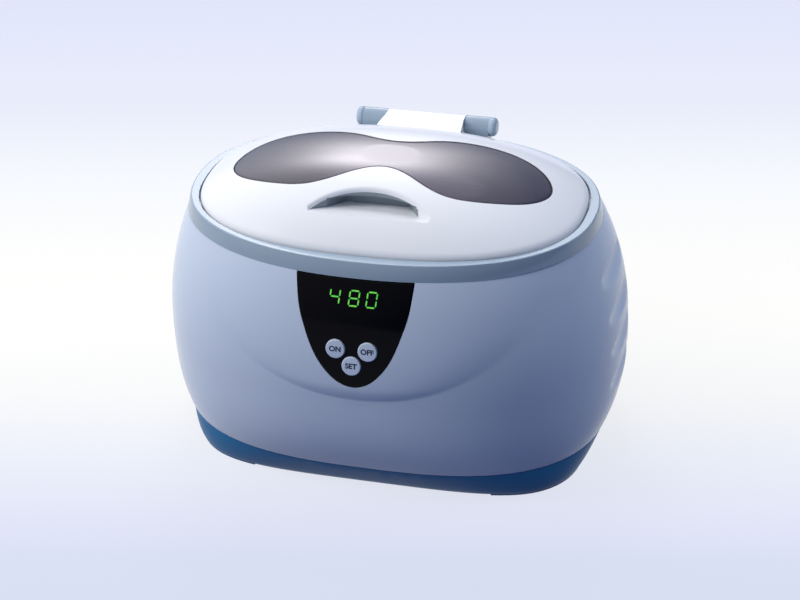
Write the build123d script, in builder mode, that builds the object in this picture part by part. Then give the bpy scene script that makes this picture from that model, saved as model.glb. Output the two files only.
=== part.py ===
"""Bench-top ultrasonic cleaner for contact lenses, 600 ml, with a hinged lid.

All lengths are in millimetres. The origin is on the table under the middle of the machine,
+X is to the right seen from the front, the control panel faces -Y, the lid's hinge is at +Y.
"""
from build123d import *
import math
import os

os.makedirs("parts", exist_ok=True)

# ---------------------------------------------------------------- driving dimensions
# Ovals are superellipses: half width, half depth and squareness (2 is a plain ellipse).
oval_points = 32                 # points that carry each oval spline

# Barrel-shaped housing
waist_half_width = 104.0         # widest place of the barrel
waist_half_depth = 75.0
waist_squareness = 2.38
waist_height = 52.6
shoulder_half_width = 92.9       # where the barrel meets the rim ring
shoulder_half_depth = 62.9
shoulder_squareness = 2.23
shoulder_height = 110.7
foot_half_width = 97.2           # where the barrel meets the base tray
foot_half_depth = 67.4
foot_squareness = 2.7
foot_height = 14.0
upper_bulge = 2.2                # exponents of the barrel's curve above and below the waist
lower_bulge = 2.9
barrel_shift = 0.7               # the barrel's centre lies this far behind the origin
housing_wall = 3.0

# Raised front (bib) of the housing, whose lower edge is a smile-shaped crease
bib_waist_depth = 76.1           # front reach of the bib on the centre line
bib_shoulder_depth = 63.6
crease_bottom = 56.0
crease_half_width = 81.5
crease_roundness = 1.7
chin_height = 8.0                # the bib curves back to the barrel over this height
bib_start_half_width = 46.0

# Finger flutes on both flanks
flute_radius = 9.0
flute_depth = 2.0
flute_length = 60.0
flute_heights = (40.0, 57.5, 75.0, 94.0)

# Base tray
base_bottom_half_width = 90.5
base_bottom_half_depth = 59.6
base_bottom_squareness = 4.0
base_clearance = 1.4             # table to the tray's lower edge between the corners
corner_drop = 0.9                # the four corners of the tray hang this much lower
corner_start_x = 55.0
corner_start_y = 28.0
corner_inset = 0.3               # the drops stand back from the tray's edge
base_wall = 2.6
spigot_root = 3.0                # the wall is thick enough to carry the spigot over this height
base_floor = 2.5
spigot_height = 3.0
spigot_wall = 1.6
fit_gap = 0.2                    # between nested mouldings
overcut = 1.0                    # cutting tools run this far past what they cut

# Rim ring
ring_top_half_width = 91.4
ring_top_half_depth = 60.3
ring_top_squareness = 2.22
ring_top = 116.7
ring_edge_radius = 0.8
ring_lip_bottom = 108.7
lid_seat = 113.7                 # ledge that the lid's edge lies on

# Lid
lid_half_width = 86.3
lid_half_depth = 54.7
lid_squareness = 2.43
lid_gap = 0.8                    # shadow gap between lid and ring
lid_rest_gap = 0.3
lid_shoulder = 117.9             # top of the lid's upright edge
lid_crown = 19.0                 # height of the dome above that edge
dome_power = 2.75
crown_shift = 1.0                # the dome's top lies this far towards the front
lid_wall = 2.4

# Lid window, half outline from the front centre round to the rear centre
window_outline = (
    (0.0, -12.9), (10.0, -16.2), (20.0, -22.7), (31.0, -27.0), (43.0, -26.4), (55.0, -22.7),
    (66.0, -15.8), (72.0, -3.4), (66.5, 9.4), (54.0, 16.8), (37.0, 18.9), (20.0, 16.6),
    (9.0, 12.7), (0.0, 11.3),
)
window_ledge = 2.0
window_recess = 0.4
window_thickness = 1.2
window_gap = 0.15
ledge_depth = 1.7                # dome surface to the ledge

# Finger grip in the lid's front slope
grip_half_width = 28.0
grip_wall_y = -26.8              # brow wall at the centre
grip_tip_y = -38.9
grip_front_y = -42.3             # where the dish runs out on the dome
grip_front_z = 127.9
grip_foot_z = 124.8
grip_skin = 2.2
grip_run_out = 6.0               # the grip's cutting tools reach this far past the dish
mouth_depth = 5.0                # from the grip's tips back to the pocket's mouth
dish_overlap = 10.0
pocket_back_y = -24.0
pocket_half_width = 14.0
pocket_mouth_half_width = 20.0
pocket_roof_z = 130.6

# Hinge
hinge_y = 61.0
hinge_z = 120.9
barrel_radius = 4.4
pin_radius = 1.75
pin_clearance = 0.06
pin_press_gap = 0.02             # around the pins in the knuckles
lug_half_width = 18.4
lug_flare = 1.8
lug_front_y = 43.0
lug_drop = 6.0                   # thickness of the lug below its flat top
knuckle_gap = 0.3
knuckle_length = 11.2
cap_thickness = 3.5
cap_edge = 2.0
pin_reach = 9.0                  # how far each pin reaches into the lug
pedestal_drop = 5.2              # the knuckle's foot runs down behind the ring
pedestal_heel = 2.8              # the foot's back slopes in by this much
pedestal_heel_rise = 0.8
pedestal_toe = 2.0
trough_gap = 0.6                 # under the lid's lug

# Tank
tank_half_width = 77.5
tank_half_depth = 47.5
tank_squareness = 2.4
tank_depth = 52.0
tank_sheet = 0.8
tank_draft = 2.5                 # each side leans in by this much down to the floor
tank_floor_radius = 9.0
flange_width = 6.0
seal_thickness = 1.0
shelf_thickness = 2.0
notch_lap = 1.6                  # the display's notch reaches this far under the flange
notch_depth = 8.4
notch_side = 2.0
shelf_lap = 1.8                  # how much the shelf's opening is larger than the tank's
ring_overhang = 0.5              # the ring's opening is this much smaller than the tank's

# Basket
basket_gap = 4.0
basket_top_below = 9.0           # basket rim under the tank's rim
basket_floor_gap = 4.0
basket_wall = 1.6
basket_rim = 2.6                 # how far the rim turns out
basket_floor_radius = 6.0
basket_slot_width = 3.0
basket_slot_length = 16.0
basket_slot_pitch = 8.0
basket_side_slot_height = 22.0
basket_side_slot_pitch = 12.0
basket_foot_radius = 3.0
basket_foot_x = 45.0
basket_foot_y = 20.0
basket_row_pitch = 1.4           # rows of floor slots, in slot lengths
basket_side_slots = 9
basket_end_slots = 4
basket_slot_rise = 2.0           # side slots sit above the middle

# Bonded transducer under the tank
horn_radius = 21.0
horn_waist = 17.0
horn_height = 16.0
piezo_radius = 17.0
piezo_bore = 6.0
piezo_thickness = 4.0
electrode_thickness = 0.3
backmass_height = 10.0
transducer_bolt_radius = 4.0
bolt_head_radius = 6.5
bolt_head_height = 5.0
bolt_thread_length = 10.0        # length of the bolt inside the horn
bolt_clearance = 0.05
backmass_chamfer = 0.8
tab_width = 4.0                  # solder tabs of the electrodes
tab_length = 6.0
tab_offset = 4.0

# Fasteners and feet
screw_x = 76.0
screw_y = 33.0
screw_radius = 1.5
screw_head_radius = 3.0
screw_head_height = 2.0
screw_recess = 4.0
cross_length = 3.4              # cross slot in the screw heads
cross_width = 0.8
cross_depth = 1.2
pilot_end = 4.0                  # wall left above the pilot holes
boss_radius = 4.5
boss_rib_width = 2.4
boss_rib_length = 20.0
housing_boss_height = 24.0
screw_clearance = 0.05
foot_x = 62.0
foot_y = 39.0
foot_radius = 7.0
foot_pocket = 1.2
foot_chamfer = 0.6
rubber_foot_gap = 0.1

# Control panel and the electronics behind it
panel_outline = (
    (0.0, 63.5), (6.3, 65.3), (10.6, 68.9), (14.8, 74.2), (18.4, 81.0), (21.3, 88.7),
    (23.6, 96.0), (24.9, 103.6), (25.6, 109.6),
)
panel_top = 110.3
panel_thickness = 1.6
prism_start = 0.7                # panel tools start at this share of the housing's depth
panel_gap = 0.12
control_tilt = 12.0              # keys and boards lean back with the front, in degrees
key_radius = 4.25
key_proud = 0.9
key_gap = 0.2
key_dome = 0.5
key_spread = 7.05
key_row_height = 81.1
set_key_height = 74.1
key_ear_reach = 6.4              # each key is kept in by one ear behind the housing wall
key_ear_width = 5.0
key_ear_depth = 6.0
key_ear_thickness = 1.2
key_stem_radius = 1.6
switch_size = 6.0
switch_height = 3.5
switch_floor = 0.3
plunger_radius = 1.7
plunger_gap = 0.1
plunger_top = 8.6                # key tops to the top of the plungers
plunger_length = 3.4
board_depth = 13.0               # key tops to the front of the control board
board_thickness = 1.6
control_board_width = 46.0
control_board_low = -15.0        # board's lower edge below the ON and OFF keys
control_board_margin = 0.5       # board above the display module
shelf_gap = 0.8                  # between the board's shoulders and the tank shelf
display_width = 23.0
display_height = 9.8
display_centre_height = 103.6
display_depth = 7.2
display_clearance = 0.5          # around the display in the housing wall
segment_length = 3.4
segment_width = 0.8
segment_height = 0.4
segment_spacing = 0.8
digit_pitch = 7.4
board_post_x = 19.5
board_post_radius = 2.6
board_post_start = 4.5           # posts start this deep inside the front wall
board_pilot_start = 6.5
board_post_rises = (-11.0, 13.0)
board_screw_radius = 1.1
board_screw_grip = 4.5
board_screw_head_radius = 2.0
board_screw_head_height = 1.3

# Mains inlet and power electronics
inlet_x = -30.0
inlet_height = 32.0
inlet_width = 20.0
inlet_tall = 12.0
inlet_length = 18.0
inlet_flange = 3.0
inlet_flange_thickness = 2.0
inlet_face_y = 68.8              # flat face that the inlet's flange lies on
inlet_pad = 3.2                  # housing behind that face
inlet_socket_depth = 11.0
inlet_pin_radius = 1.2
inlet_pin_spacing = 8.6
inlet_pin_length = 9.0
inlet_tail = 3.0                 # solder tails behind the inlet's body
inlet_lobe_radius = 4.0
inlet_waist = 5.6                # height of the socket between its lobes
inlet_pin_gap = 0.02
inlet_recess_depth = 12.0
inlet_corner = 2.0
power_board_x = -58.0
power_board_width = 54.0
power_board_depth = 52.0
power_board_height = 9.0
power_post_radius = 3.0
power_screw_head_radius = 2.2
power_screw_head_height = 1.4
power_screw_grip = 3.5
power_pilot_depth = 4.5
board_inset = 4.0                # board edge to the middle of its screws

# Parts that stand on the power board: places are x, y of their middles
transformer_place = (-70.0, 6.0)
core_size = (26.0, 12.0, 24.0)
core_leg = 4.0
core_centre_leg = 8.0
winding_bulge = 5.0
winding_gap = 0.2
capacitor_place = (-72.0, -15.0)
capacitor_radius = 8.0
capacitor_height = 28.0
capacitor_edge = 1.0
fuse_place = (-56.0, -21.0)
fuse_radius = 2.6
fuse_length = 16.0
fuse_cap_length = 5.0
fuse_glass_share = 0.85          # glass tube, as a share of the caps' radius
heat_sink_place = (-44.75, -1.0)
heat_sink_size = (2.5, 26.0, 24.0)
heat_sink_fin_reach = 7.5
heat_sink_fin = 1.6
heat_sink_fin_pitch = 6.1
heat_sink_fins = 5
heat_sink_root = 0.4             # fins run into the plate by this much
transistor_size = (4.0, 10.0, 15.0)
transistor_lift = 5.0
transistor_pitch = 13.0
transistor_leg = 0.8
mains_terminal_place = (-48.0, 20.0)
mains_terminal_size = (12.0, 8.0, 8.0)
output_terminal_place = (-35.0, -6.0)
output_terminal_size = (7.0, 10.0, 8.0)
header_size = (6.0, 8.0, 5.0)
header_place = (-42.5, -21.0)
panel_header_place = (-11.0, -6.0)
lead_radius = 0.9
lead_bend = 3.0
cable_radius = 1.6
cable_bend = 6.0

# Vents and rating plate in the underside
vent_width = 2.4
vent_length = 18.0
vent_pitch = 7.0
vents_per_row = 7
vent_row_y = 30.0
plate_width = 50.0
plate_depth = 24.0
plate_thickness = 0.3
plate_corner = 2.0


# ---------------------------------------------------------------- shared shapes
def blend(low, high, share):
    """The value that lies this share of the way from low to high."""
    return low + (high - low) * share


def oval_face(height, half_width, half_depth, squareness, centre_y=0.0):
    """Flat oval at this height, ready to be lofted or extruded."""
    places = []
    for step in range(oval_points):
        turn = 2 * math.pi * step / oval_points
        across, along = math.cos(turn), math.sin(turn)
        reach = (abs(across) ** squareness + abs(along) ** squareness) ** (-1 / squareness)
        places.append((half_width * across * reach, centre_y + half_depth * along * reach))
    with BuildSketch(Plane.XY.offset(height)) as oval:
        with BuildLine():
            Spline(*places, periodic=True)
        make_face()
    return oval.sketch


def oval_block(bottom, top, half_width, half_depth, squareness, centre_y=0.0):
    """Upright oval prism between two heights."""
    with BuildPart() as block:
        add(oval_face(bottom, half_width, half_depth, squareness, centre_y))
        extrude(amount=top - bottom)
    return block.part


def barrel_oval(height):
    """Half width, half depth and squareness of the barrel at a height."""
    if height >= waist_height:
        share = ((height - waist_height) / (shoulder_height - waist_height)) ** upper_bulge
        end = (shoulder_half_width, shoulder_half_depth, shoulder_squareness)
    else:
        share = ((waist_height - height) / (waist_height - foot_height)) ** lower_bulge
        end = (foot_half_width, foot_half_depth, foot_squareness)
    waist = (waist_half_width, waist_half_depth, waist_squareness)
    return tuple(blend(low, high, share) for low, high in zip(waist, end))


def barrel(inset, bottom, top, levels=9):
    """Barrel loft between two heights, its walls moved inwards by inset."""
    with BuildPart() as shape:
        for level in range(levels):
            height = blend(bottom, top, level / (levels - 1))
            wide, deep, square = barrel_oval(min(max(height, foot_height), shoulder_height))
            add(oval_face(height, wide - inset, deep - inset, square, barrel_shift))
        loft()
    return shape.part


def bib_reach(height):
    """How far the bib stands in front of the origin on the centre line."""
    share = ((max(height, waist_height) - waist_height) / (shoulder_height - waist_height))
    full = blend(bib_waist_depth, bib_shoulder_depth, share ** upper_bulge)
    barrel_front = barrel_oval(height)[1] - barrel_shift
    short = max(0.0, (crease_bottom + chin_height - height) / chin_height)
    return barrel_front + (full - barrel_front) * (1 - short ** 2)


def bib_oval(height):
    """Bib section: it crosses the barrel's section exactly on the crease."""
    wide, deep, square = barrel_oval(height)
    reach = bib_reach(height)
    if height < crease_bottom + 1:
        return bib_start_half_width, reach, square
    rise = (shoulder_height - height) / (shoulder_height - crease_bottom)
    crease_x = crease_half_width * math.sqrt(1 - rise ** crease_roundness)
    crease_y = deep * (1 - (crease_x / wide) ** square) ** (1 / square) - barrel_shift
    return crease_x / (1 - (crease_y / reach) ** square) ** (1 / square), reach, square


def bib(inset):
    """Front half of the bib loft, its surface moved inwards by inset."""
    heights = [crease_bottom - 2.0, crease_bottom - 0.6]
    heights += [blend(crease_bottom + 1.4, shoulder_height, step / 9) for step in range(10)]
    with BuildPart() as shape:
        for height in heights:
            wide, deep, square = bib_oval(height)
            add(oval_face(height, wide - inset, deep - inset, square))
        loft()
        split(bisect_by=Plane.XZ, keep=Keep.TOP)
    return shape.part


def front_y(x, height):
    """Y of the bib's surface at a place on the front."""
    wide, deep, square = bib_oval(height)
    return -deep * (1 - (abs(x) / wide) ** square) ** (1 / square)


def dome(inset, bottom, levels=9):
    """Lid dome, its surface moved inwards by inset, standing on an upright edge."""
    crown = lid_crown - inset
    with BuildPart() as shape:
        for level in range(levels):
            slant = math.sin(math.pi / 2 * level / (levels - 0.55))
            rise = slant ** 1.6
            scale = (1 - rise) ** (1 / dome_power)
            add(oval_face(lid_shoulder + crown * rise, (lid_half_width - inset) * scale,
                          (lid_half_depth - inset) * scale, lid_squareness, -crown_shift * rise))
        loft()
        add(oval_block(bottom, lid_shoulder, lid_half_width - inset, lid_half_depth - inset,
                       lid_squareness))
    return shape.part


def finish(builder, name):
    """Label a finished piece and write its STEP file."""
    builder.part.label = name
    export_step(builder.part, f"parts/{name}.step")


def four_corners(x, y):
    """Places mirrored in all four corners."""
    return Locations((x, y), (-x, y), (x, -y), (-x, -y))


def side_prism(points, low_x, high_x):
    """Prism along X with a polygon in the YZ plane as its end."""
    with BuildPart() as prism:
        with BuildSketch(Plane.YZ.offset(low_x)):
            with BuildLine():
                Polyline(*points, close=True)
            make_face()
        extrude(amount=high_x - low_x)
    return prism.part


# Places that several pieces share
shelf_top = ring_lip_bottom - tank_sheet - seal_thickness
shelf_bottom = shelf_top - shelf_thickness
tank_opening = (tank_half_width - ring_overhang, tank_half_depth - ring_overhang)
flange_half_width = tank_half_width + flange_width
flange_half_depth = tank_half_depth + flange_width
lid_bottom = lid_seat + lid_rest_gap
knuckle_start = lug_half_width + knuckle_gap
knuckle_end = knuckle_start + knuckle_length
lean = math.radians(control_tilt)
control_plane = Plane(
    origin=(0, front_y(0, key_row_height), key_row_height),
    x_dir=(1, 0, 0),
    z_dir=(0, -math.cos(lean), math.sin(lean)),
)
set_key_drop = (key_row_height - set_key_height) / math.cos(lean)
display_rise = (display_centre_height - key_row_height) / math.cos(lean)
key_places = {
    "on": ((-key_spread, 0.0), (-1, 0)),
    "off": ((key_spread, 0.0), (1, 0)),
    "set": ((0.0, -set_key_drop), (0, -1)),
}
board_posts = [(side * board_post_x, rise) for side in (-1, 1) for rise in board_post_rises]
base_floor_top = base_clearance + base_floor
spigot_inset = housing_wall + fit_gap
power_screws = [(power_board_x + side * (power_board_width / 2 - board_inset),
                 end * (power_board_depth / 2 - board_inset))
                for side in (-1, 1) for end in (-1, 1)]


# ---------------------------------------------------------------- housing
def panel_prism(grow, top):
    """Prism along Y with the control panel's shield outline, grown to the sides and down."""
    wide, shoulder = panel_outline[-1]
    tall = shoulder - panel_outline[0][1]
    half = [(x * (1 + grow / wide), shoulder - (shoulder - z) * (1 + grow / tall))
            for x, z in panel_outline]
    mirrored = [(-x, z) for x, z in reversed(half[1:])]
    with BuildPart() as prism:
        with BuildSketch(Plane.XZ.offset(shoulder_half_depth * prism_start)):
            with BuildLine():
                edge = Spline(*(mirrored + half))
                Polyline(edge @ 1, (half[-1][0], top), (-half[-1][0], top), edge @ 0)
            make_face()
        extrude(amount=waist_half_depth)
    return prism.part


def board_cylinder(place, radius, near, far):
    """Cylinder square to the control board between two depths behind the keys."""
    with BuildPart() as cylinder:
        with BuildSketch(control_plane.offset(-far)):
            with Locations(place):
                Circle(radius)
        extrude(amount=far - near)
    return cylinder.part


# Space inside the housing, with its screw bosses and the pad behind the mains inlet left solid
with BuildPart() as cavity:
    add(barrel(housing_wall, foot_height - overcut, shelf_bottom))
    with BuildSketch(Plane.XY.offset(foot_height - overcut)):
        with four_corners(screw_x, screw_y):
            Circle(boss_radius)
    extrude(amount=housing_boss_height + overcut, mode=Mode.SUBTRACT)
    with BuildSketch(Plane.XY.offset(foot_height + spigot_height + overcut)):
        with four_corners(screw_x + boss_rib_length / 2, screw_y):
            Rectangle(boss_rib_length, boss_rib_width)
    extrude(amount=housing_boss_height - spigot_height - overcut, mode=Mode.SUBTRACT)
    with BuildSketch(Plane.XZ.offset(-(inlet_face_y - inlet_pad + inlet_recess_depth))):
        with Locations((inlet_x, inlet_height)):
            Rectangle(inlet_width + 4 * inlet_flange, inlet_tall + 4 * inlet_flange)
    extrude(amount=inlet_recess_depth, mode=Mode.SUBTRACT)

with BuildPart() as housing:
    add(barrel(0, foot_height, shoulder_height))
    # finger flutes: straight grooves that run out where the flank curves away
    for height in flute_heights:
        for side in (-1, 1):
            groove_x = side * (barrel_oval(height)[0] - flute_depth + flute_radius)
            with BuildSketch(Plane.XZ.offset(-flute_length / 2)):
                with Locations((groove_x, height)):
                    Circle(flute_radius)
            extrude(amount=flute_length, mode=Mode.SUBTRACT)
    add(bib(0))
    add(cavity.part, mode=Mode.SUBTRACT)
    add(barrel(housing_wall, shelf_top, shoulder_height + overcut, levels=3), mode=Mode.SUBTRACT)
    add(oval_block(shelf_bottom - overcut, shelf_top + overcut,
                   flange_half_width - flange_width + shelf_lap,
                   flange_half_depth - flange_width + shelf_lap, tank_squareness),
        mode=Mode.SUBTRACT)
    # notch in the tank shelf that lets the display stand up behind the panel
    with BuildSketch(Plane.XY.offset(shelf_bottom - overcut)):
        with Locations((0, -flange_half_depth + notch_lap - notch_depth / 2)):
            Rectangle(display_width + 2 * notch_side, notch_depth)
    extrude(amount=shelf_thickness + 2 * overcut, mode=Mode.SUBTRACT)
    # posts for the control board, grown out of the front wall
    for place in board_posts:
        add(board_cylinder(place, board_post_radius, board_post_start, board_depth))
    for place in board_posts:
        add(board_cylinder(place, board_screw_radius + screw_clearance, board_pilot_start,
                           board_depth + overcut), mode=Mode.SUBTRACT)
    # pocket for the panel, window for the display, holes for the keys
    add(panel_prism(panel_gap, shoulder_height + overcut) - bib(panel_thickness + panel_gap),
        mode=Mode.SUBTRACT)
    with BuildSketch(control_plane.offset(-display_depth - 2 * overcut)):
        with Locations((0, display_rise)):
            Rectangle(display_width + 2 * display_clearance,
                      display_height + 2 * display_clearance)
    extrude(amount=display_depth + 6 * overcut, mode=Mode.SUBTRACT)
    for place, _ in key_places.values():
        add(board_cylinder(place, key_radius + key_gap, -4 * overcut,
                           key_ear_depth + 2 * overcut), mode=Mode.SUBTRACT)
    # recess and hole for the mains inlet
    with BuildSketch(Plane.XZ.offset(-inlet_face_y)):
        with Locations((inlet_x, inlet_height)):
            Rectangle(inlet_width + 2 * inlet_flange + fit_gap,
                      inlet_tall + 2 * inlet_flange + fit_gap)
    extrude(amount=-inlet_recess_depth, mode=Mode.SUBTRACT)
    with BuildSketch(Plane.XZ.offset(-inlet_face_y)):
        with Locations((inlet_x, inlet_height)):
            Rectangle(inlet_width + fit_gap, inlet_tall + fit_gap)
    extrude(amount=inlet_recess_depth, mode=Mode.SUBTRACT)
    # pilot holes for the base screws
    with BuildSketch(Plane.XY.offset(foot_height)):
        with four_corners(screw_x, screw_y):
            Circle(screw_radius + screw_clearance)
    extrude(amount=housing_boss_height - pilot_end, mode=Mode.SUBTRACT)
finish(housing, "housing")


# ---------------------------------------------------------------- base tray
def base_oval(height):
    """Half width, half depth, squareness and centre of the base tray at a height."""
    share = (height - base_clearance) / (foot_height - base_clearance)
    share = min(max(share, 0.0), 1.0) ** 0.8
    return (blend(base_bottom_half_width, foot_half_width, share),
            blend(base_bottom_half_depth, foot_half_depth, share),
            blend(base_bottom_squareness, foot_squareness, share), barrel_shift * share)


def base_loft(inset, bottom, top, levels=4):
    """Flared base shape between two heights, moved inwards by inset."""
    with BuildPart() as shape:
        for level in range(levels):
            height = blend(bottom, top, level / (levels - 1))
            wide, deep, square, centre = base_oval(height)
            add(oval_face(height, wide - inset, deep - inset, square, centre))
        loft()
    return shape.part


with BuildPart() as corner_pads:
    wide, deep, square, centre = base_oval(base_clearance)
    add(oval_block(base_clearance - corner_drop, base_clearance + overcut, wide - corner_inset,
                   deep - corner_inset, square, centre))
    with BuildSketch(Plane.XY.offset(-overcut)):
        Rectangle(2 * corner_start_x, 4 * deep)
        Rectangle(4 * wide, 2 * corner_start_y)
    extrude(amount=base_clearance + 3 * overcut, mode=Mode.SUBTRACT)

with BuildPart() as base_tray:
    add(base_loft(0, base_clearance, foot_height))
    add(corner_pads.part)
    add(base_loft(base_wall, base_floor_top, foot_height - spigot_root), mode=Mode.SUBTRACT)
    # spigot that centres the housing
    add(oval_block(foot_height - spigot_root, foot_height + spigot_height,
                   foot_half_width - spigot_inset, foot_half_depth - spigot_inset,
                   foot_squareness, barrel_shift))
    bore_inset = spigot_inset + spigot_wall
    add(oval_block(foot_height - spigot_root - overcut, foot_height + spigot_height + overcut,
                   foot_half_width - bore_inset, foot_half_depth - bore_inset,
                   foot_squareness, barrel_shift), mode=Mode.SUBTRACT)
    # screw bosses and posts for the power board
    with BuildSketch(Plane.XY.offset(base_clearance + base_floor / 2)):
        with four_corners(screw_x, screw_y):
            Circle(boss_radius)
    extrude(amount=foot_height - base_clearance - base_floor / 2)
    with BuildSketch(Plane.XY.offset(base_clearance + base_floor / 2)):
        with Locations(power_screws):
            Circle(power_post_radius)
    extrude(amount=power_board_height - base_clearance - base_floor / 2)
    with BuildSketch(Plane.XY.offset(power_board_height - power_pilot_depth)):
        with Locations(power_screws):
            Circle(board_screw_radius + screw_clearance)
    extrude(amount=power_pilot_depth + overcut, mode=Mode.SUBTRACT)
    # vents through the floor
    with BuildSketch(Plane.XY):
        with GridLocations(vent_pitch, 2 * vent_row_y, vents_per_row, 2):
            SlotOverall(vent_length, vent_width, rotation=90)
    extrude(amount=base_floor_top + overcut, mode=Mode.SUBTRACT)
    # holes for the screws from below and shallow pockets for the rubber feet
    with BuildSketch(Plane.XY):
        with four_corners(screw_x, screw_y):
            Circle(screw_head_radius + fit_gap)
    extrude(amount=base_clearance + screw_recess, mode=Mode.SUBTRACT)
    with BuildSketch(Plane.XY):
        with four_corners(screw_x, screw_y):
            Circle(screw_radius + fit_gap)
    extrude(amount=foot_height + overcut, mode=Mode.SUBTRACT)
    with BuildSketch(Plane.XY):
        with four_corners(foot_x, foot_y):
            Circle(foot_radius + rubber_foot_gap)
    extrude(amount=base_clearance + foot_pocket, mode=Mode.SUBTRACT)
finish(base_tray, "base_tray")

with BuildPart() as rubber_feet:
    with BuildSketch(Plane.XY):
        with four_corners(foot_x, foot_y):
            Circle(foot_radius)
    extrude(amount=base_clearance + foot_pocket)
    chamfer(rubber_feet.faces().sort_by(Axis.Z)[:4].edges(), length=foot_chamfer)
finish(rubber_feet, "rubber_feet")

with BuildPart() as base_screws:
    seat = base_clearance + screw_recess
    with BuildSketch(Plane.XY.offset(seat - screw_head_height)):
        with four_corners(screw_x, screw_y):
            Circle(screw_head_radius)
    extrude(amount=screw_head_height)
    with BuildSketch(Plane.XY.offset(seat - screw_head_height)):
        with four_corners(screw_x, screw_y):
            Rectangle(cross_length, cross_width)
            Rectangle(cross_width, cross_length)
    extrude(amount=cross_depth, mode=Mode.SUBTRACT)
    with BuildSketch(Plane.XY.offset(seat)):
        with four_corners(screw_x, screw_y):
            Circle(screw_radius)
    extrude(amount=foot_height + housing_boss_height / 2 - seat)
finish(base_screws, "base_screws")


# ---------------------------------------------------------------- rim ring
knuckle_profile_front = hinge_y - barrel_radius
knuckle_profile_back = hinge_y + barrel_radius
with BuildPart() as knuckle_strip:
    with BuildSketch(Plane.YZ.offset(-knuckle_end)):
        with BuildLine():
            front = Line((knuckle_profile_front, ring_top - overcut),
                         (knuckle_profile_front, hinge_z))
            over = ThreePointArc(front @ 1, (hinge_y, hinge_z + barrel_radius),
                                 (knuckle_profile_back, hinge_z))
            Polyline(over @ 1, (knuckle_profile_back, ring_top + pedestal_heel_rise),
                     (knuckle_profile_back - pedestal_heel, ring_top - pedestal_drop),
                     (knuckle_profile_front + pedestal_toe, ring_top - pedestal_drop), front @ 0)
        make_face()
    extrude(amount=2 * knuckle_end)
    with BuildSketch(Plane.XY.offset(ring_top - 2 * pedestal_drop)):
        with Locations((0, hinge_y)):
            Rectangle(2 * knuckle_start, 4 * barrel_radius)
    extrude(amount=6 * pedestal_drop, mode=Mode.SUBTRACT)

with BuildPart() as rim_ring:
    add(oval_face(shoulder_height, shoulder_half_width, shoulder_half_depth + barrel_shift,
                  shoulder_squareness))
    add(oval_face(ring_top, ring_top_half_width, ring_top_half_depth, ring_top_squareness))
    loft()
    fillet(rim_ring.faces().sort_by(Axis.Z)[-1].edges(), radius=ring_edge_radius)
    add(oval_block(ring_lip_bottom, shoulder_height, shoulder_half_width - spigot_inset,
                   shoulder_half_depth - spigot_inset, shoulder_squareness, barrel_shift))
    add(knuckle_strip.part)
    add(oval_block(ring_lip_bottom - overcut, ring_top + overcut, *tank_opening,
                   tank_squareness), mode=Mode.SUBTRACT)
    add(oval_block(lid_seat, ring_top + overcut, lid_half_width + lid_gap, lid_half_depth + lid_gap,
                   lid_squareness), mode=Mode.SUBTRACT)
    # trough under the lid's hinge lug, and the two bores for the pins
    with BuildSketch(Plane.YZ.offset(-knuckle_start)):
        with Locations((hinge_y, hinge_z)):
            Circle(barrel_radius + trough_gap)
    extrude(amount=2 * knuckle_start, mode=Mode.SUBTRACT)
    with BuildSketch(Plane.YZ.offset(-knuckle_end - overcut)):
        with Locations((hinge_y, hinge_z)):
            Circle(pin_radius + pin_press_gap)
    extrude(amount=2 * (knuckle_end + overcut), mode=Mode.SUBTRACT)
finish(rim_ring, "rim_ring")

for side, side_name in ((-1, "left"), (1, "right")):
    with BuildPart() as hinge_pin:
        with BuildSketch(Plane.YZ.offset(side * knuckle_end)):
            with Locations((hinge_y, hinge_z)):
                Circle(barrel_radius)
        extrude(amount=side * cap_thickness)
        outer_face = hinge_pin.faces().sort_by(Axis.X)[-1 if side > 0 else 0]
        fillet(outer_face.edges(), radius=cap_edge)
        with BuildSketch(Plane.YZ.offset(side * (lug_half_width - pin_reach))):
            with Locations((hinge_y, hinge_z)):
                Circle(pin_radius)
        extrude(amount=side * (knuckle_end - lug_half_width + pin_reach))
    finish(hinge_pin, f"hinge_pin_{side_name}")


# ---------------------------------------------------------------- lid
floor_slope = (grip_front_z - grip_foot_z) / (grip_wall_y - grip_front_y)


def dish_floor(y):
    """Height of the grip's dished floor at a distance from the hinge side."""
    return grip_foot_z + floor_slope * (grip_wall_y - y)


def grip_plan(grow):
    """Upright prism over the crescent of the finger grip."""
    with BuildPart() as prism:
        with BuildSketch(Plane.XY.offset(lid_shoulder)):
            with BuildLine():
                wide = grip_half_width + grow
                brow = ThreePointArc((-wide, grip_tip_y), (0, grip_wall_y + grow), (wide, grip_tip_y))
                front = grip_front_y - grip_run_out
                Polyline(brow @ 1, (wide, front), (-wide, front), brow @ 0)
            make_face()
        extrude(amount=2 * lid_crown)
    return prism.part


def above_floor(drop, back_y, ceiling, half_width):
    """Block above the dished floor, lowered by drop, up to a flat ceiling."""
    front = grip_front_y - grip_run_out
    outline = ((front, dish_floor(front) - drop), (back_y, dish_floor(back_y) - drop),
               (back_y, ceiling), (front, ceiling))
    return side_prism(outline, -half_width, half_width)


def window_prism(shrink):
    """Upright prism with the waisted outline of the lid window, moved inwards by shrink."""
    mirrored = [(-x, y) for x, y in reversed(window_outline[1:-1])]
    places = [Vector(x, y) for x, y in list(window_outline) + mirrored]
    count = len(places)
    moved = []
    for step, place in enumerate(places):
        along = (places[(step + 1) % count] - places[step - 1]).normalized()
        moved.append(place + Vector(-along.Y, along.X) * shrink)
    with BuildPart() as prism:
        with BuildSketch(Plane.XY.offset(lid_shoulder - lid_wall)):
            with BuildLine():
                Spline(*moved, periodic=True)
            make_face()
        extrude(amount=2 * lid_crown)
    return prism.part


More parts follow.
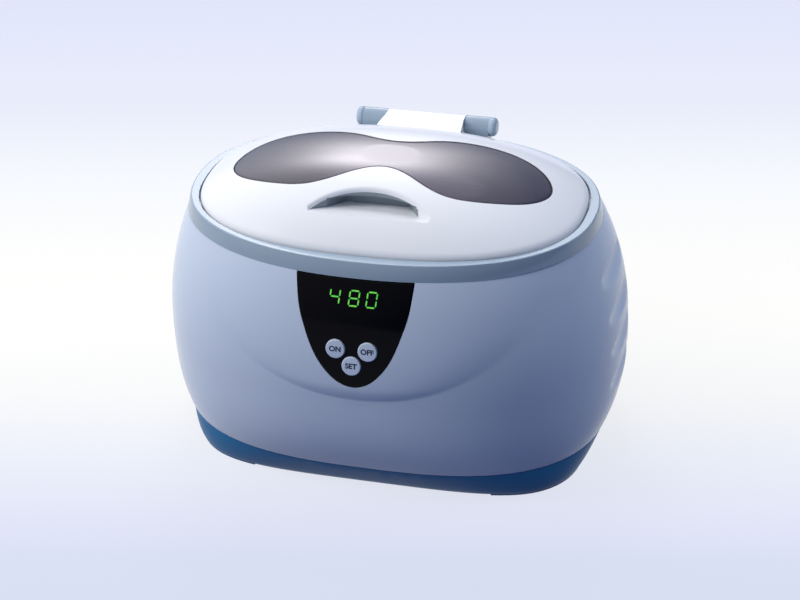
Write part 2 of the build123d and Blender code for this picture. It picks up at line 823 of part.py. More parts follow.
lid_ceiling = lid_shoulder + lid_crown + 5
with BuildPart() as pocket:
    with BuildSketch(Plane.XY.offset(lid_shoulder)):
        with BuildLine():
            mouth_y = grip_tip_y + mouth_depth
            Polyline((-pocket_mouth_half_width, mouth_y), (-pocket_half_width, pocket_back_y),
                     (pocket_half_width, pocket_back_y), (pocket_mouth_half_width, mouth_y),
                     close=True)
        make_face()
    extrude(amount=2 * lid_crown)
    add(above_floor(0, pocket_back_y + overcut, pocket_roof_z, grip_half_width),
        mode=Mode.INTERSECT)

with BuildPart() as lug:
    with BuildSketch(Plane.YZ.offset(-lug_half_width - lug_flare)):
        with BuildLine():
            top = Line((lug_front_y, hinge_z + barrel_radius), (hinge_y, hinge_z + barrel_radius))
            around = ThreePointArc(top @ 1, (hinge_y + barrel_radius, hinge_z),
                                   (hinge_y, hinge_z - barrel_radius))
            under = Line(around @ 1, (hinge_y - barrel_radius, hinge_z + barrel_radius - lug_drop))
            Polyline(under @ 1, (lug_front_y, hinge_z + barrel_radius - lug_drop), top @ 0)
        make_face()
    extrude(amount=2 * (lug_half_width + lug_flare))
    with BuildSketch(Plane.XY.offset(ring_top - 2 * barrel_radius)):
        with BuildLine():
            neck_y = hinge_y - barrel_radius - knuckle_gap
            Polyline((-lug_half_width - lug_flare, lug_front_y - overcut), (-lug_half_width, neck_y),
                     (-lug_half_width, hinge_y + 2 * barrel_radius),
                     (lug_half_width, hinge_y + 2 * barrel_radius), (lug_half_width, neck_y),
                     (lug_half_width + lug_flare, lug_front_y - overcut), close=True)
        make_face()
    extrude(amount=6 * barrel_radius, mode=Mode.INTERSECT)
    add(dome(lid_wall, lid_bottom), mode=Mode.SUBTRACT)

# Material behind the pocket, so that the wall keeps its thickness there
backing_back = pocket_back_y + grip_skin
backing_reach = pocket_mouth_half_width + grip_skin
backing_outline = ((grip_tip_y, lid_shoulder), (backing_back, lid_shoulder),
                   (backing_back, lid_ceiling), (grip_tip_y, lid_ceiling))
pocket_backing = (above_floor(grip_skin, backing_back, lid_ceiling, backing_reach)
                  & side_prism(backing_outline, -backing_reach, backing_reach)
                  & dome(fit_gap, lid_bottom))
dish_backing = (above_floor(grip_skin, 0, lid_ceiling, grip_half_width + dish_overlap)
                & grip_plan(grip_skin) & dome(fit_gap, lid_bottom))

with BuildPart() as lid_shell:
    add(dome(0, lid_bottom))
    add(dome(lid_wall, lid_bottom - overcut), mode=Mode.SUBTRACT)
    add(lug.part)
    add(pocket_backing)
    add(dish_backing)
    add(above_floor(0, grip_wall_y + overcut, lid_ceiling, grip_half_width + dish_overlap)
        & grip_plan(0), mode=Mode.SUBTRACT)
    add(pocket.part, mode=Mode.SUBTRACT)
    # stepped opening for the window
    add(window_prism(window_ledge), mode=Mode.SUBTRACT)
    add(window_prism(0) - dome(ledge_depth, lid_bottom), mode=Mode.SUBTRACT)
    with BuildSketch(Plane.YZ.offset(-lug_half_width - overcut)):
        with Locations((hinge_y, hinge_z)):
            Circle(pin_radius + pin_clearance)
    extrude(amount=2 * (lug_half_width + overcut), mode=Mode.SUBTRACT)
finish(lid_shell, "lid_shell")

with BuildPart() as lid_window:
    add(window_prism(window_gap) & dome(window_recess, lid_bottom))
    add(dome(window_recess + window_thickness, lid_bottom), mode=Mode.SUBTRACT)
finish(lid_window, "lid_window")

# ---------------------------------------------------------------- tank and basket
tank_floor_top = ring_lip_bottom - tank_depth
tank_floor_bottom = tank_floor_top - tank_sheet


def tank_form(grow, bottom, top):
    """Tapered tub with a rounded floor edge, larger than the tank's inside by grow."""
    with BuildPart() as form:
        add(oval_face(bottom, tank_half_width - tank_draft + grow,
                      tank_half_depth - tank_draft + grow, tank_squareness))
        add(oval_face(top, tank_half_width + grow, tank_half_depth + grow, tank_squareness))
        loft()
        fillet(form.faces().sort_by(Axis.Z)[0].edges(), radius=tank_floor_radius + grow)
    return form.part


with BuildPart() as tank:
    add(tank_form(tank_sheet, tank_floor_bottom, ring_lip_bottom - tank_sheet / 2))
    add(oval_block(ring_lip_bottom - tank_sheet, ring_lip_bottom, flange_half_width,
                   flange_half_depth, tank_squareness))
    add(tank_form(0, tank_floor_top, ring_lip_bottom), mode=Mode.SUBTRACT)
finish(tank, "tank")

with BuildPart() as tank_seal:
    add(oval_block(shelf_top, shelf_top + seal_thickness, flange_half_width, flange_half_depth,
                   tank_squareness))
    add(oval_block(shelf_top - overcut, shelf_top + seal_thickness + overcut,
                   flange_half_width - flange_width + shelf_lap,
                   flange_half_depth - flange_width + shelf_lap, tank_squareness),
        mode=Mode.SUBTRACT)
finish(tank_seal, "tank_seal")

basket_top = ring_lip_bottom - basket_top_below
basket_floor = tank_floor_top + basket_floor_gap


def basket_form(inset, bottom):
    """Tapered tub that keeps basket_gap from the tank, moved inwards by inset."""
    low = basket_gap + tank_draft + inset
    high = basket_gap + inset
    with BuildPart() as form:
        add(oval_face(bottom, tank_half_width - low, tank_half_depth - low, tank_squareness))
        add(oval_face(basket_top, tank_half_width - high, tank_half_depth - high,
                      tank_squareness))
        loft()
        fillet(form.faces().sort_by(Axis.Z)[0].edges(), radius=basket_floor_radius - inset)
    return form.part


with BuildPart() as basket:
    add(basket_form(0, basket_floor))
    rim_half_width = tank_half_width - basket_gap + basket_rim
    add(oval_block(basket_top - basket_wall, basket_top, rim_half_width,
                   tank_half_depth - basket_gap + basket_rim, tank_squareness))
    add(basket_form(basket_wall, basket_floor + basket_wall), mode=Mode.SUBTRACT)
    # short feet
    with BuildSketch(Plane.XY.offset(tank_floor_top)):
        with four_corners(basket_foot_x, basket_foot_y):
            Circle(basket_foot_radius)
    extrude(amount=basket_floor_gap + basket_wall / 2)
    # slots in the floor
    with BuildSketch(Plane.XY.offset(basket_floor - overcut)):
        with GridLocations(basket_slot_pitch, basket_row_pitch * basket_slot_length, 5, 3):
            SlotOverall(basket_slot_length, basket_slot_width, rotation=90)
        with Locations((-basket_foot_x - 1.5 * basket_slot_pitch, 0),
                       (basket_foot_x + 1.5 * basket_slot_pitch, 0)):
            SlotOverall(2 * basket_slot_length, basket_slot_width, rotation=90)
        for side in (-1, 1):
            with Locations((side * 4 * basket_slot_pitch, 0)):
                with GridLocations(basket_slot_pitch, basket_row_pitch * basket_slot_length, 3, 3):
                    SlotOverall(basket_slot_length, basket_slot_width, rotation=90)
    extrude(amount=basket_wall + 2 * overcut, mode=Mode.SUBTRACT)
    # upright slots in the sides and ends
    slot_middle = (basket_top + basket_floor) / 2 + basket_slot_rise
    with BuildSketch(Plane.XZ):
        with Locations((0, slot_middle)):
            with GridLocations(basket_side_slot_pitch, 1, basket_side_slots, 1):
                SlotOverall(basket_side_slot_height, basket_slot_width, rotation=90)
    extrude(amount=tank_half_depth, both=True, mode=Mode.SUBTRACT)
    with BuildSketch(Plane.YZ):
        with Locations((0, slot_middle)):
            with GridLocations(basket_side_slot_pitch, 1, basket_end_slots, 1):
                SlotOverall(basket_side_slot_height, basket_slot_width, rotation=90)
    extrude(amount=tank_half_width, both=True, mode=Mode.SUBTRACT)
finish(basket, "basket")


# ---------------------------------------------------------------- transducer
def round_piece(radius, bottom, height, bore=0.0):
    """Upright cylinder on the transducer's axis, with an optional bore."""
    with BuildPart() as piece:
        with BuildSketch(Plane.XY.offset(bottom)):
            Circle(radius)
            if bore:
                Circle(bore, mode=Mode.SUBTRACT)
        extrude(amount=height)
    return piece.part


horn_bottom = tank_floor_bottom - horn_height
bolt_bore = transducer_bolt_radius + bolt_clearance
with BuildPart() as transducer_horn:
    with BuildSketch(Plane.XY.offset(horn_bottom)):
        Circle(horn_waist)
    with BuildSketch(Plane.XY.offset(tank_floor_bottom)):
        Circle(horn_radius)
    loft()
    add(round_piece(bolt_bore, horn_bottom, bolt_thread_length + overcut), mode=Mode.SUBTRACT)
finish(transducer_horn, "transducer_horn")

level = horn_bottom
for layer, side in (("upper", -1), ("lower", 1)):
    level -= piezo_thickness
    with BuildPart() as piezo_ring:
        add(round_piece(piezo_radius, level, piezo_thickness, piezo_bore))
    finish(piezo_ring, f"piezo_ring_{layer}")
    level -= electrode_thickness
    with BuildPart() as electrode:
        with BuildSketch(Plane.XY.offset(level)):
            Circle(piezo_radius)
            with Locations((-piezo_radius - tab_length / 2 + overcut, side * tab_offset)):
                Rectangle(tab_length + 2 * overcut, tab_width)
            Circle(piezo_bore, mode=Mode.SUBTRACT)
        extrude(amount=electrode_thickness)
    finish(electrode, f"electrode_{layer}")

level -= backmass_height
with BuildPart() as transducer_backmass:
    add(round_piece(piezo_radius, level, backmass_height, bolt_bore))
    chamfer(transducer_backmass.faces().sort_by(Axis.Z)[0].edges(), length=backmass_chamfer)
finish(transducer_backmass, "transducer_backmass")

with BuildPart() as transducer_bolt:
    add(round_piece(transducer_bolt_radius, level, horn_bottom + bolt_thread_length - level))
    add(round_piece(bolt_head_radius, level - bolt_head_height, bolt_head_height))
    with BuildSketch(Plane.XY.offset(level - bolt_head_height)):
        RegularPolygon(transducer_bolt_radius, 6)
    extrude(amount=bolt_head_height / 2, mode=Mode.SUBTRACT)
finish(transducer_bolt, "transducer_bolt")


# ---------------------------------------------------------------- control panel
with BuildPart() as control_panel:
    add(panel_prism(0, panel_top) & bib(0))
    add(bib(panel_thickness), mode=Mode.SUBTRACT)
    for place, _ in key_places.values():
        add(board_cylinder(place, key_radius + key_gap, -key_ear_depth, key_ear_depth),
            mode=Mode.SUBTRACT)
finish(control_panel, "control_panel")

for name, (place, ear) in key_places.items():
    with BuildPart() as key:
        add(board_cylinder(place, key_radius, -key_proud, key_ear_depth + key_ear_thickness))
        top_face = key.faces().sort_by(Axis.Y)[0]
        fillet(top_face.edges(), radius=key_dome)
        with BuildSketch(control_plane.offset(-key_ear_depth - key_ear_thickness)):
            with Locations((place[0] + ear[0] * key_ear_reach / 2,
                            place[1] + ear[1] * key_ear_reach / 2)):
                if ear[0]:
                    Rectangle(key_ear_reach, key_ear_width)
                else:
                    Rectangle(key_ear_width, key_ear_reach)
        extrude(amount=key_ear_thickness)
        add(board_cylinder(place, key_stem_radius, key_ear_depth, plunger_top))
    finish(key, f"key_{name}")

    with BuildPart() as switch:
        with BuildSketch(control_plane.offset(-board_depth)):
            with Locations(place):
                Rectangle(switch_size, switch_size)
        extrude(amount=switch_height)
        add(board_cylinder(place, plunger_radius + plunger_gap, plunger_top,
                           board_depth - switch_floor), mode=Mode.SUBTRACT)
    finish(switch, f"switch_{name}")

    with BuildPart() as plunger:
        add(board_cylinder(place, plunger_radius, plunger_top, plunger_top + plunger_length))
    finish(plunger, f"plunger_{name}")


# ---------------------------------------------------------------- control board and display
def board_box(centre, size, near, far):
    """Box square to the control board between two depths behind the keys."""
    with BuildPart() as box:
        with BuildSketch(control_plane.offset(-far)):
            with Locations(centre):
                Rectangle(*size)
        extrude(amount=far - near)
    return box.part


board_high = display_rise + display_height / 2 + control_board_margin
board_shoulder = ((shelf_bottom - shelf_gap - key_row_height + board_depth * math.sin(lean))
                  / math.cos(lean))
board_back = board_depth + board_thickness
with BuildPart() as control_board:
    add(board_box((0, (board_shoulder + control_board_low) / 2),
                  (control_board_width, board_shoulder - control_board_low), board_depth,
                  board_back))
    add(board_box((0, board_high / 2), (display_width + 2, board_high), board_depth, board_back))
    for place in board_posts:
        add(board_cylinder(place, board_screw_radius + screw_clearance, board_depth - overcut,
                           board_back + overcut), mode=Mode.SUBTRACT)
finish(control_board, "control_board")

with BuildPart() as control_board_screws:
    for place in board_posts:
        add(board_cylinder(place, board_screw_radius, board_depth - board_screw_grip, board_back))
        add(board_cylinder(place, board_screw_head_radius, board_back,
                           board_back + board_screw_head_height))
finish(control_board_screws, "control_board_screws")

with BuildPart() as display_module:
    add(board_box((0, display_rise), (display_width, display_height), display_depth, board_depth))
finish(display_module, "display_module")

# Seven-segment figures: which bars are lit, from the top bar clockwise, then the middle one
figures = ((0, 1, 1, 0, 0, 1, 1), (1, 1, 1, 1, 1, 1, 1), (1, 1, 1, 1, 1, 1, 0))
bar_places = ((0, 1, 0), (0.5, 0.5, 1), (0.5, -0.5, 1), (0, -1, 0), (-0.5, -0.5, 1),
              (-0.5, 0.5, 1), (0, 0, 0))
with BuildPart() as display_segments:
    with BuildSketch(control_plane.offset(-display_depth)):
        for column, lit in enumerate(figures):
            centre = (column - 1) * digit_pitch
            for shown, (across, up, upright) in zip(lit, bar_places):
                if shown:
                    with Locations((centre + across * segment_length,
                                    display_rise + up * segment_length)):
                        SlotOverall(segment_length - segment_spacing, segment_width,
                                    rotation=90 * upright)
    extrude(amount=segment_height)
finish(display_segments, "display_segments")


# ---------------------------------------------------------------- mains inlet
with BuildPart() as mains_inlet:
    with BuildSketch(Plane.XZ.offset(-inlet_face_y)):
        with Locations((inlet_x, inlet_height)):
            Rectangle(inlet_width + 2 * inlet_flange, inlet_tall + 2 * inlet_flange)
    extrude(amount=-inlet_flange_thickness)
    fillet(mains_inlet.edges().filter_by(Axis.Y), radius=inlet_corner)
    with BuildSketch(Plane.XZ.offset(-inlet_face_y)):
        with Locations((inlet_x, inlet_height)):
            Rectangle(inlet_width, inlet_tall)
    extrude(amount=inlet_length)
    inlet_outside = inlet_face_y + inlet_flange_thickness
    with BuildSketch(Plane.XZ.offset(-inlet_outside)):
        with Locations((inlet_x, inlet_height)):
            with GridLocations(inlet_pin_spacing, 1, 2, 1):
                Circle(inlet_lobe_radius)
            Rectangle(inlet_pin_spacing, inlet_waist)
    extrude(amount=inlet_socket_depth, mode=Mode.SUBTRACT)
    with BuildSketch(Plane.XZ.offset(-inlet_outside)):
        with Locations((inlet_x, inlet_height)):
            with GridLocations(inlet_pin_spacing, 1, 2, 1):
                Circle(inlet_pin_radius + inlet_pin_gap)
    extrude(amount=inlet_flange_thickness + inlet_length + overcut, mode=Mode.SUBTRACT)
finish(mains_inlet, "mains_inlet")

pin_tail_y = inlet_face_y - inlet_length - inlet_tail
with BuildPart() as inlet_pins:
    with BuildSketch(Plane.XZ.offset(-pin_tail_y)):
        with Locations((inlet_x, inlet_height)):
            with GridLocations(inlet_pin_spacing, 1, 2, 1):
                Circle(inlet_pin_radius)
    pin_front_y = inlet_outside - inlet_socket_depth + inlet_pin_length
    extrude(amount=pin_tail_y - pin_front_y)
finish(inlet_pins, "inlet_pins")


# ---------------------------------------------------------------- power electronics
board_top = power_board_height + board_thickness


def standing_box(place, size, bottom):
    """Upright box whose middle stands at a place in plan."""
    with BuildPart() as box:
        with BuildSketch(Plane.XY.offset(bottom)):
            with Locations(place):
                Rectangle(size[0], size[1])
        extrude(amount=size[2])
    return box.part


with BuildPart() as power_board:
    with BuildSketch(Plane.XY.offset(power_board_height)):
        with Locations((power_board_x, 0)):
            Rectangle(power_board_width, power_board_depth)
        with Locations(power_screws):
            Circle(board_screw_radius + screw_clearance, mode=Mode.SUBTRACT)
    extrude(amount=board_thickness)
finish(power_board, "power_board")

with BuildPart() as power_board_screws:
    with BuildSketch(Plane.XY.offset(board_top)):
        with Locations(power_screws):
            Circle(power_screw_head_radius)
    extrude(amount=power_screw_head_height)
    with BuildSketch(Plane.XY.offset(board_top)):
        with Locations(power_screws):
            Circle(board_screw_radius)
    extrude(amount=-board_thickness - power_screw_grip)
finish(power_board_screws, "power_board_screws")

winding_height = core_size[2] - 2 * core_leg
with BuildPart() as transformer_core:
    add(standing_box(transformer_place, core_size, board_top))
    window_width = (core_size[0] - 2 * core_leg - core_centre_leg) / 2
    with BuildSketch(Plane.XZ.offset(-transformer_place[1])):
        with Locations((transformer_place[0], board_top + core_size[2] / 2)):
            with GridLocations(core_centre_leg + window_width, 1, 2, 1):
                Rectangle(window_width, winding_height)
    extrude(amount=core_size[1], both=True, mode=Mode.SUBTRACT)
finish(transformer_core, "transformer_core")

with BuildPart() as transformer_winding:
    add(standing_box(transformer_place,
                     (core_size[0] - 2 * core_leg - 2 * winding_gap,
                      core_size[1] + 2 * winding_bulge, winding_height - 2 * winding_gap),
                     board_top + core_leg + winding_gap))
    fillet(transformer_winding.edges().filter_by(Axis.Z), radius=winding_bulge / 2)
    add(standing_box(transformer_place,
                     (core_centre_leg + 2 * winding_gap, core_size[1] + 2 * winding_gap,
                      core_size[2]), board_top), mode=Mode.SUBTRACT)
finish(transformer_winding, "transformer_winding")

with BuildPart() as filter_capacitor:
    with BuildSketch(Plane.XY.offset(board_top)):
        with Locations(capacitor_place):
            Circle(capacitor_radius)
    extrude(amount=capacitor_height)
    fillet(filter_capacitor.faces().sort_by(Axis.Z)[-1].edges(), radius=capacitor_edge)
finish(filter_capacitor, "filter_capacitor")

with BuildPart() as mains_fuse:
    fuse_axis = board_top + fuse_radius
    with BuildSketch(Plane.YZ.offset(fuse_place[0] - fuse_length / 2)):
        with Locations((fuse_place[1], fuse_axis)):
            Circle(fuse_radius)
    extrude(amount=fuse_length)
    with BuildSketch(Plane.YZ.offset(fuse_place[0] - fuse_length / 2 + fuse_cap_length)):
        with Locations((fuse_place[1], fuse_axis)):
            Circle(fuse_radius + overcut)
            Circle(fuse_glass_share * fuse_radius, mode=Mode.SUBTRACT)
    extrude(amount=fuse_length - 2 * fuse_cap_length, mode=Mode.SUBTRACT)
finish(mains_fuse, "mains_fuse")

with BuildPart() as heat_sink:
    add(standing_box(heat_sink_place, heat_sink_size, board_top))
    with BuildSketch(Plane.XY.offset(board_top)):
        with Locations((heat_sink_place[0] - (heat_sink_size[0] + heat_sink_fin_reach) / 2,
                        heat_sink_place[1])):
            with GridLocations(1, heat_sink_fin_pitch, 1, heat_sink_fins):
                Rectangle(heat_sink_fin_reach + heat_sink_root, heat_sink_fin)
    extrude(amount=heat_sink_size[2])
finish(heat_sink, "heat_sink")

with BuildPart() as power_transistors:
    transistor_x = heat_sink_place[0] + (heat_sink_size[0] + transistor_size[0]) / 2
    with BuildSketch(Plane.XY.offset(board_top + transistor_lift)):
        with Locations((transistor_x, heat_sink_place[1])):
            with GridLocations(1, transistor_pitch, 1, 2):
                Rectangle(transistor_size[0], transistor_size[1])
    extrude(amount=transistor_size[2])
    with BuildSketch(Plane.XY.offset(board_top)):
        with Locations((transistor_x, heat_sink_place[1])):
            with GridLocations(1, transistor_pitch, 1, 2):
                with GridLocations(1, transistor_size[1] / 4, 1, 3):
                    Rectangle(transistor_leg, transistor_leg)
    extrude(amount=transistor_lift)
finish(power_transistors, "power_transistors")

with BuildPart() as terminal_blocks:
    add(standing_box(mains_terminal_place, mains_terminal_size, board_top))
    add(standing_box(output_terminal_place, output_terminal_size, board_top))
finish(terminal_blocks, "terminal_blocks")

with BuildPart() as cable_headers:
    add(standing_box(header_place, header_size, board_top))
    add(board_box(panel_header_place, header_size[:2], board_back, board_back + header_size[2]))
finish(cable_headers, "cable_headers")


# ---------------------------------------------------------------- wiring
def round_cable(points, radius, bend):
    """Round cable along straight runs joined by tangent bends."""
    with BuildPart() as cable:
        with BuildLine() as route:
            FilletPolyline(*points, radius=bend)
        with BuildSketch(Plane(origin=route.wires()[0] @ 0, z_dir=route.wires()[0] % 0)):
            Circle(radius)
        sweep(path=route.wires()[0])
    return cable.part


terminal_level = board_top + mains_terminal_size[2] / 2
with BuildPart() as mains_leads:
    for side in (-1, 1):
        tail_x = inlet_x + side * inlet_pin_spacing / 2
        screw_place = mains_terminal_place[0] + side * mains_terminal_size[0] / 4
        terminal_y = mains_terminal_place[1] + mains_terminal_size[1] / 2
        add(round_cable(((tail_x, pin_tail_y, inlet_height),
                         (tail_x, pin_tail_y - 3 * lead_bend, inlet_height),
                         (screw_place, terminal_y + 3 * lead_bend, terminal_level),
                         (screw_place, terminal_y, terminal_level)), lead_radius, lead_bend))
finish(mains_leads, "mains_leads")

with BuildPart() as transducer_leads:
    output_x = output_terminal_place[0] + output_terminal_size[0] / 2
    tab_level = horn_bottom - piezo_thickness
    for side in (-1, 1):
        lead_y = output_terminal_place[1] + side * output_terminal_size[1] / 4
        tab_x = -piezo_radius - tab_length / 2
        lead_z = tab_level + lead_radius
        add(round_cable(((tab_x, side * tab_offset, lead_z),
                         (tab_x - 2.4 * lead_bend, side * tab_offset, lead_z),
                         (output_x + 1.5 * lead_bend, lead_y, terminal_level),
                         (output_x, lead_y, terminal_level)), lead_radius, 0.8 * lead_bend))
        tab_level -= piezo_thickness + electrode_thickness
finish(transducer_leads, "transducer_leads")

with BuildPart() as panel_cable:
    cable_plane = control_plane.offset(-board_back - header_size[2] / 2)
    header_foot = panel_header_place[1] - header_size[1] / 2
    cable_start = cable_plane.from_local_coords(Vector(panel_header_place[0], header_foot))
    cable_turn = cable_plane.from_local_coords(
        Vector(panel_header_place[0], header_foot - 2 * cable_bend))
    header_front = header_place[1] - header_size[1] / 2
    header_level = board_top + header_size[2] / 2
    add(round_cable((cable_start, cable_turn,
                     (header_place[0], header_front - 2 * cable_bend, header_level),
                     (header_place[0], header_front, header_level)), cable_radius, cable_bend))
finish(panel_cable, "panel_cable")

with BuildPart() as rating_plate:
    with BuildSketch(Plane.XY.offset(base_clearance - plate_thickness)):
        RectangleRounded(plate_width, plate_depth, plate_corner)
    extrude(amount=plate_thickness)
finish(rating_plate, "rating_plate")
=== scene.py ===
import math

import bmesh
import bpy
import numpy as np
from mathutils import Matrix, Vector


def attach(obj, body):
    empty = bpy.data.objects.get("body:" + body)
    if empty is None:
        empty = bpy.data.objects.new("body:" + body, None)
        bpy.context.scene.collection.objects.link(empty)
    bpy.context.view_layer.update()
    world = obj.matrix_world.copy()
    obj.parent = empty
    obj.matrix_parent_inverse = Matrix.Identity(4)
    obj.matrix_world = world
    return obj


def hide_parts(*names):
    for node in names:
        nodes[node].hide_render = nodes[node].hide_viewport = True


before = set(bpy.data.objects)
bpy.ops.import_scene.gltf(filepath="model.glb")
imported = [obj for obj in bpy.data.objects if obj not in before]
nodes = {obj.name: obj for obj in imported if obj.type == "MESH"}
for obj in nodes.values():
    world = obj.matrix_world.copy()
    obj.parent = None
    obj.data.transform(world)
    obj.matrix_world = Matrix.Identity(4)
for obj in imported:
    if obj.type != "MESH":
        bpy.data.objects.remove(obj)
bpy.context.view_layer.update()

mm = 0.001

# ---------------------------------------------------------------- camera
# A long lens stands about a metre off, a little to the right of the control panel, and looks
# down on the lid at a third of a right angle.
turn, tilt, roll = (math.radians(angle) for angle in (16.4219, 32.2597, -2.7439))
back = Vector((math.sin(turn) * math.cos(tilt), -math.cos(turn) * math.cos(tilt), math.sin(tilt)))
level = Vector((math.cos(turn), math.sin(turn), 0))
above = back.cross(level)
across = math.cos(roll) * level + math.sin(roll) * above
upward = math.cos(roll) * above - math.sin(roll) * level
aim = Vector((0.64, 0.18, 60.51)) * mm
camera = bpy.data.objects.new("camera", bpy.data.cameras.new("camera"))
camera.data.sensor_width = 36
camera.data.lens = 94.28
camera.data.clip_start = 0.01
camera.matrix_world = (Matrix.Translation(aim + 0.95484 * back)
                       @ Matrix((across, upward, back)).transposed().to_4x4())
bpy.context.scene.collection.objects.link(camera)
bpy.context.scene.camera = camera

# ---------------------------------------------------------------- floor and light
# The machine stands on a wide matt sheet whose pale tone runs from lavender through white to
# lavender. Three soft lamps hang above it, the strongest on the left, and the room fills in a
# cool tone.
bpy.context.scene.view_settings.view_transform = "Standard"


def tone(red, green, blue):
    """Linear colour from the three numbers of a display colour."""
    share = [value / 255 for value in (red, green, blue)]
    return (*[c / 12.92 if c <= 0.04045 else ((c + 0.055) / 1.055) ** 2.4 for c in share], 1.0)


def put(tree, kind, inputs=None, **settings):
    """Put a node in a tree, set its switches, and wire or set its inputs."""
    node = tree.nodes.new(kind)
    for name, value in settings.items():
        setattr(node, name, value)
    for name, value in (inputs or {}).items():
        if isinstance(value, bpy.types.NodeSocket):
            tree.links.new(value, node.inputs[name])
        else:
            node.inputs[name].default_value = value
    return node


def ramp(tree, factor, stops):
    """Colour ramp with a list of places and colours."""
    node = put(tree, "ShaderNodeValToRGB", {"Fac": factor})
    points = node.color_ramp.elements
    while len(points) < len(stops):
        points.new(0.5)
    for point, (place, colour) in zip(points, stops):
        point.position = place
        point.color = colour
    return node


def seen_directly(tree):
    """One for rays that come from the camera, a mirror or a clear piece, else nought."""
    path = put(tree, "ShaderNodeLightPath")
    either = put(tree, "ShaderNodeMath", {0: path.outputs["Is Camera Ray"],
                                          1: path.outputs["Is Glossy Ray"]}, operation="MAXIMUM")
    return put(tree, "ShaderNodeMath", {0: either.outputs[0],
                                        1: path.outputs["Is Transmission Ray"]},
               operation="MAXIMUM").outputs[0]


floor_half = 4.0
floor_near, floor_far = 0.36, -0.76      # where the tones start and end along the sheet
floor_tones = (
    (0.00, tone(206, 214, 238)), (0.22, tone(218, 224, 243)), (0.24, tone(225, 228, 246)),
    (0.285, tone(237, 240, 249)), (0.335, tone(250, 250, 250)), (0.39, tone(255, 255, 252)),
    (0.45, tone(252, 252, 250)), (0.52, tone(245, 247, 251)), (0.595, tone(233, 236, 248)),
    (0.68, tone(227, 231, 248)), (0.74, tone(225, 228, 248)), (1.00, tone(219, 223, 246)),
)
floor_mesh = bpy.data.meshes.new("floor")
floor_mesh.from_pydata([(x * floor_half, y * floor_half, 0) for x, y in
                        ((-1, -1), (1, -1), (1, 1), (-1, 1))], [], [(0, 1, 2, 3)])
floor = bpy.data.objects.new("floor", floor_mesh)
bpy.context.scene.collection.objects.link(floor)
sheet = bpy.data.materials.new("pale sheet")
sheet.use_nodes = True
tree = sheet.node_tree
tree.nodes.clear()
where = put(tree, "ShaderNodeTexCoord").outputs["Object"]
run = Vector((upward.x, upward.y, 0)).normalized()
along = put(tree, "ShaderNodeVectorMath", {0: where, 1: run}, operation="DOT_PRODUCT")
share = put(tree, "ShaderNodeMapRange", {"Value": along.outputs["Value"], "From Min": -floor_near,
                                         "From Max": -floor_far})
paper = ramp(tree, share.outputs["Result"], floor_tones).outputs["Color"]
lit = put(tree, "ShaderNodeBsdfDiffuse", {"Color": paper})
glow = put(tree, "ShaderNodeEmission", {"Color": paper, "Strength": 1.0})
shown = put(tree, "ShaderNodeMixShader", {0: 0.87, 1: lit.outputs[0], 2: glow.outputs[0]})
dim = put(tree, "ShaderNodeBsdfDiffuse", {"Color": tone(0, 46, 112)})
sheet_out = put(tree, "ShaderNodeMixShader", {0: seen_directly(tree), 1: dim.outputs[0],
                                              2: shown.outputs[0]})
put(tree, "ShaderNodeOutputMaterial", {"Surface": sheet_out.outputs[0]})
floor_mesh.materials.append(sheet)

room = bpy.data.worlds.new("room")
bpy.context.scene.world = room
room.use_nodes = True
tree = room.node_tree
tree.nodes.clear()
heading = put(tree, "ShaderNodeTexCoord").outputs["Generated"]
bright_side = Vector((-0.70, -0.10, 0.70)).normalized()
facing = put(tree, "ShaderNodeVectorMath", {0: heading, 1: bright_side}, operation="DOT_PRODUCT")
height = put(tree, "ShaderNodeMapRange", {"Value": facing.outputs["Value"], "From Min": -1.0})
fill = ramp(tree, height.outputs["Result"], (
    (0.0, tone(0, 20, 58)), (0.38, tone(0, 36, 80)), (0.58, tone(62, 98, 142)),
    (0.75, tone(200, 210, 228)), (1.0, tone(255, 255, 255))))
fill_light = put(tree, "ShaderNodeBackground", {"Color": fill.outputs["Color"], "Strength": 0.9})
wall_light = put(tree, "ShaderNodeBackground", {"Color": tone(226, 230, 247), "Strength": 1.0})
# a long white curtain behind the machine, seen only in its glossy surfaces
curtain_side = Vector((-0.285, 0.81, 0.515)).normalized()
off_curtain = put(tree, "ShaderNodeVectorMath", {0: heading, 1: curtain_side},
                  operation="DOT_PRODUCT")
spread = put(tree, "ShaderNodeMath", {0: off_curtain.outputs["Value"], 1: -140.0, 2: 141.0},
             operation="MULTIPLY_ADD")
sheen = put(tree, "ShaderNodeMath", {0: 1.0, 1: spread.outputs[0]}, operation="DIVIDE")
path = put(tree, "ShaderNodeLightPath")
mirrored = put(tree, "ShaderNodeMath", {0: sheen.outputs[0],
                                        1: path.outputs["Is Glossy Ray"]}, operation="MULTIPLY")
curtain_power = put(tree, "ShaderNodeMath", {0: mirrored.outputs[0], 1: 5.4},
                    operation="MULTIPLY")
curtain = put(tree, "ShaderNodeBackground", {"Color": tone(255, 250, 252),
                                             "Strength": curtain_power.outputs[0]})
fill_light = put(tree, "ShaderNodeAddShader", {0: fill_light.outputs[0], 1: curtain.outputs[0]})
room_light = put(tree, "ShaderNodeMixShader", {0: path.outputs["Is Camera Ray"],
                                               1: fill_light.outputs[0], 2: wall_light.outputs[0]})
put(tree, "ShaderNodeOutputWorld", {"Surface": room_light.outputs[0]})

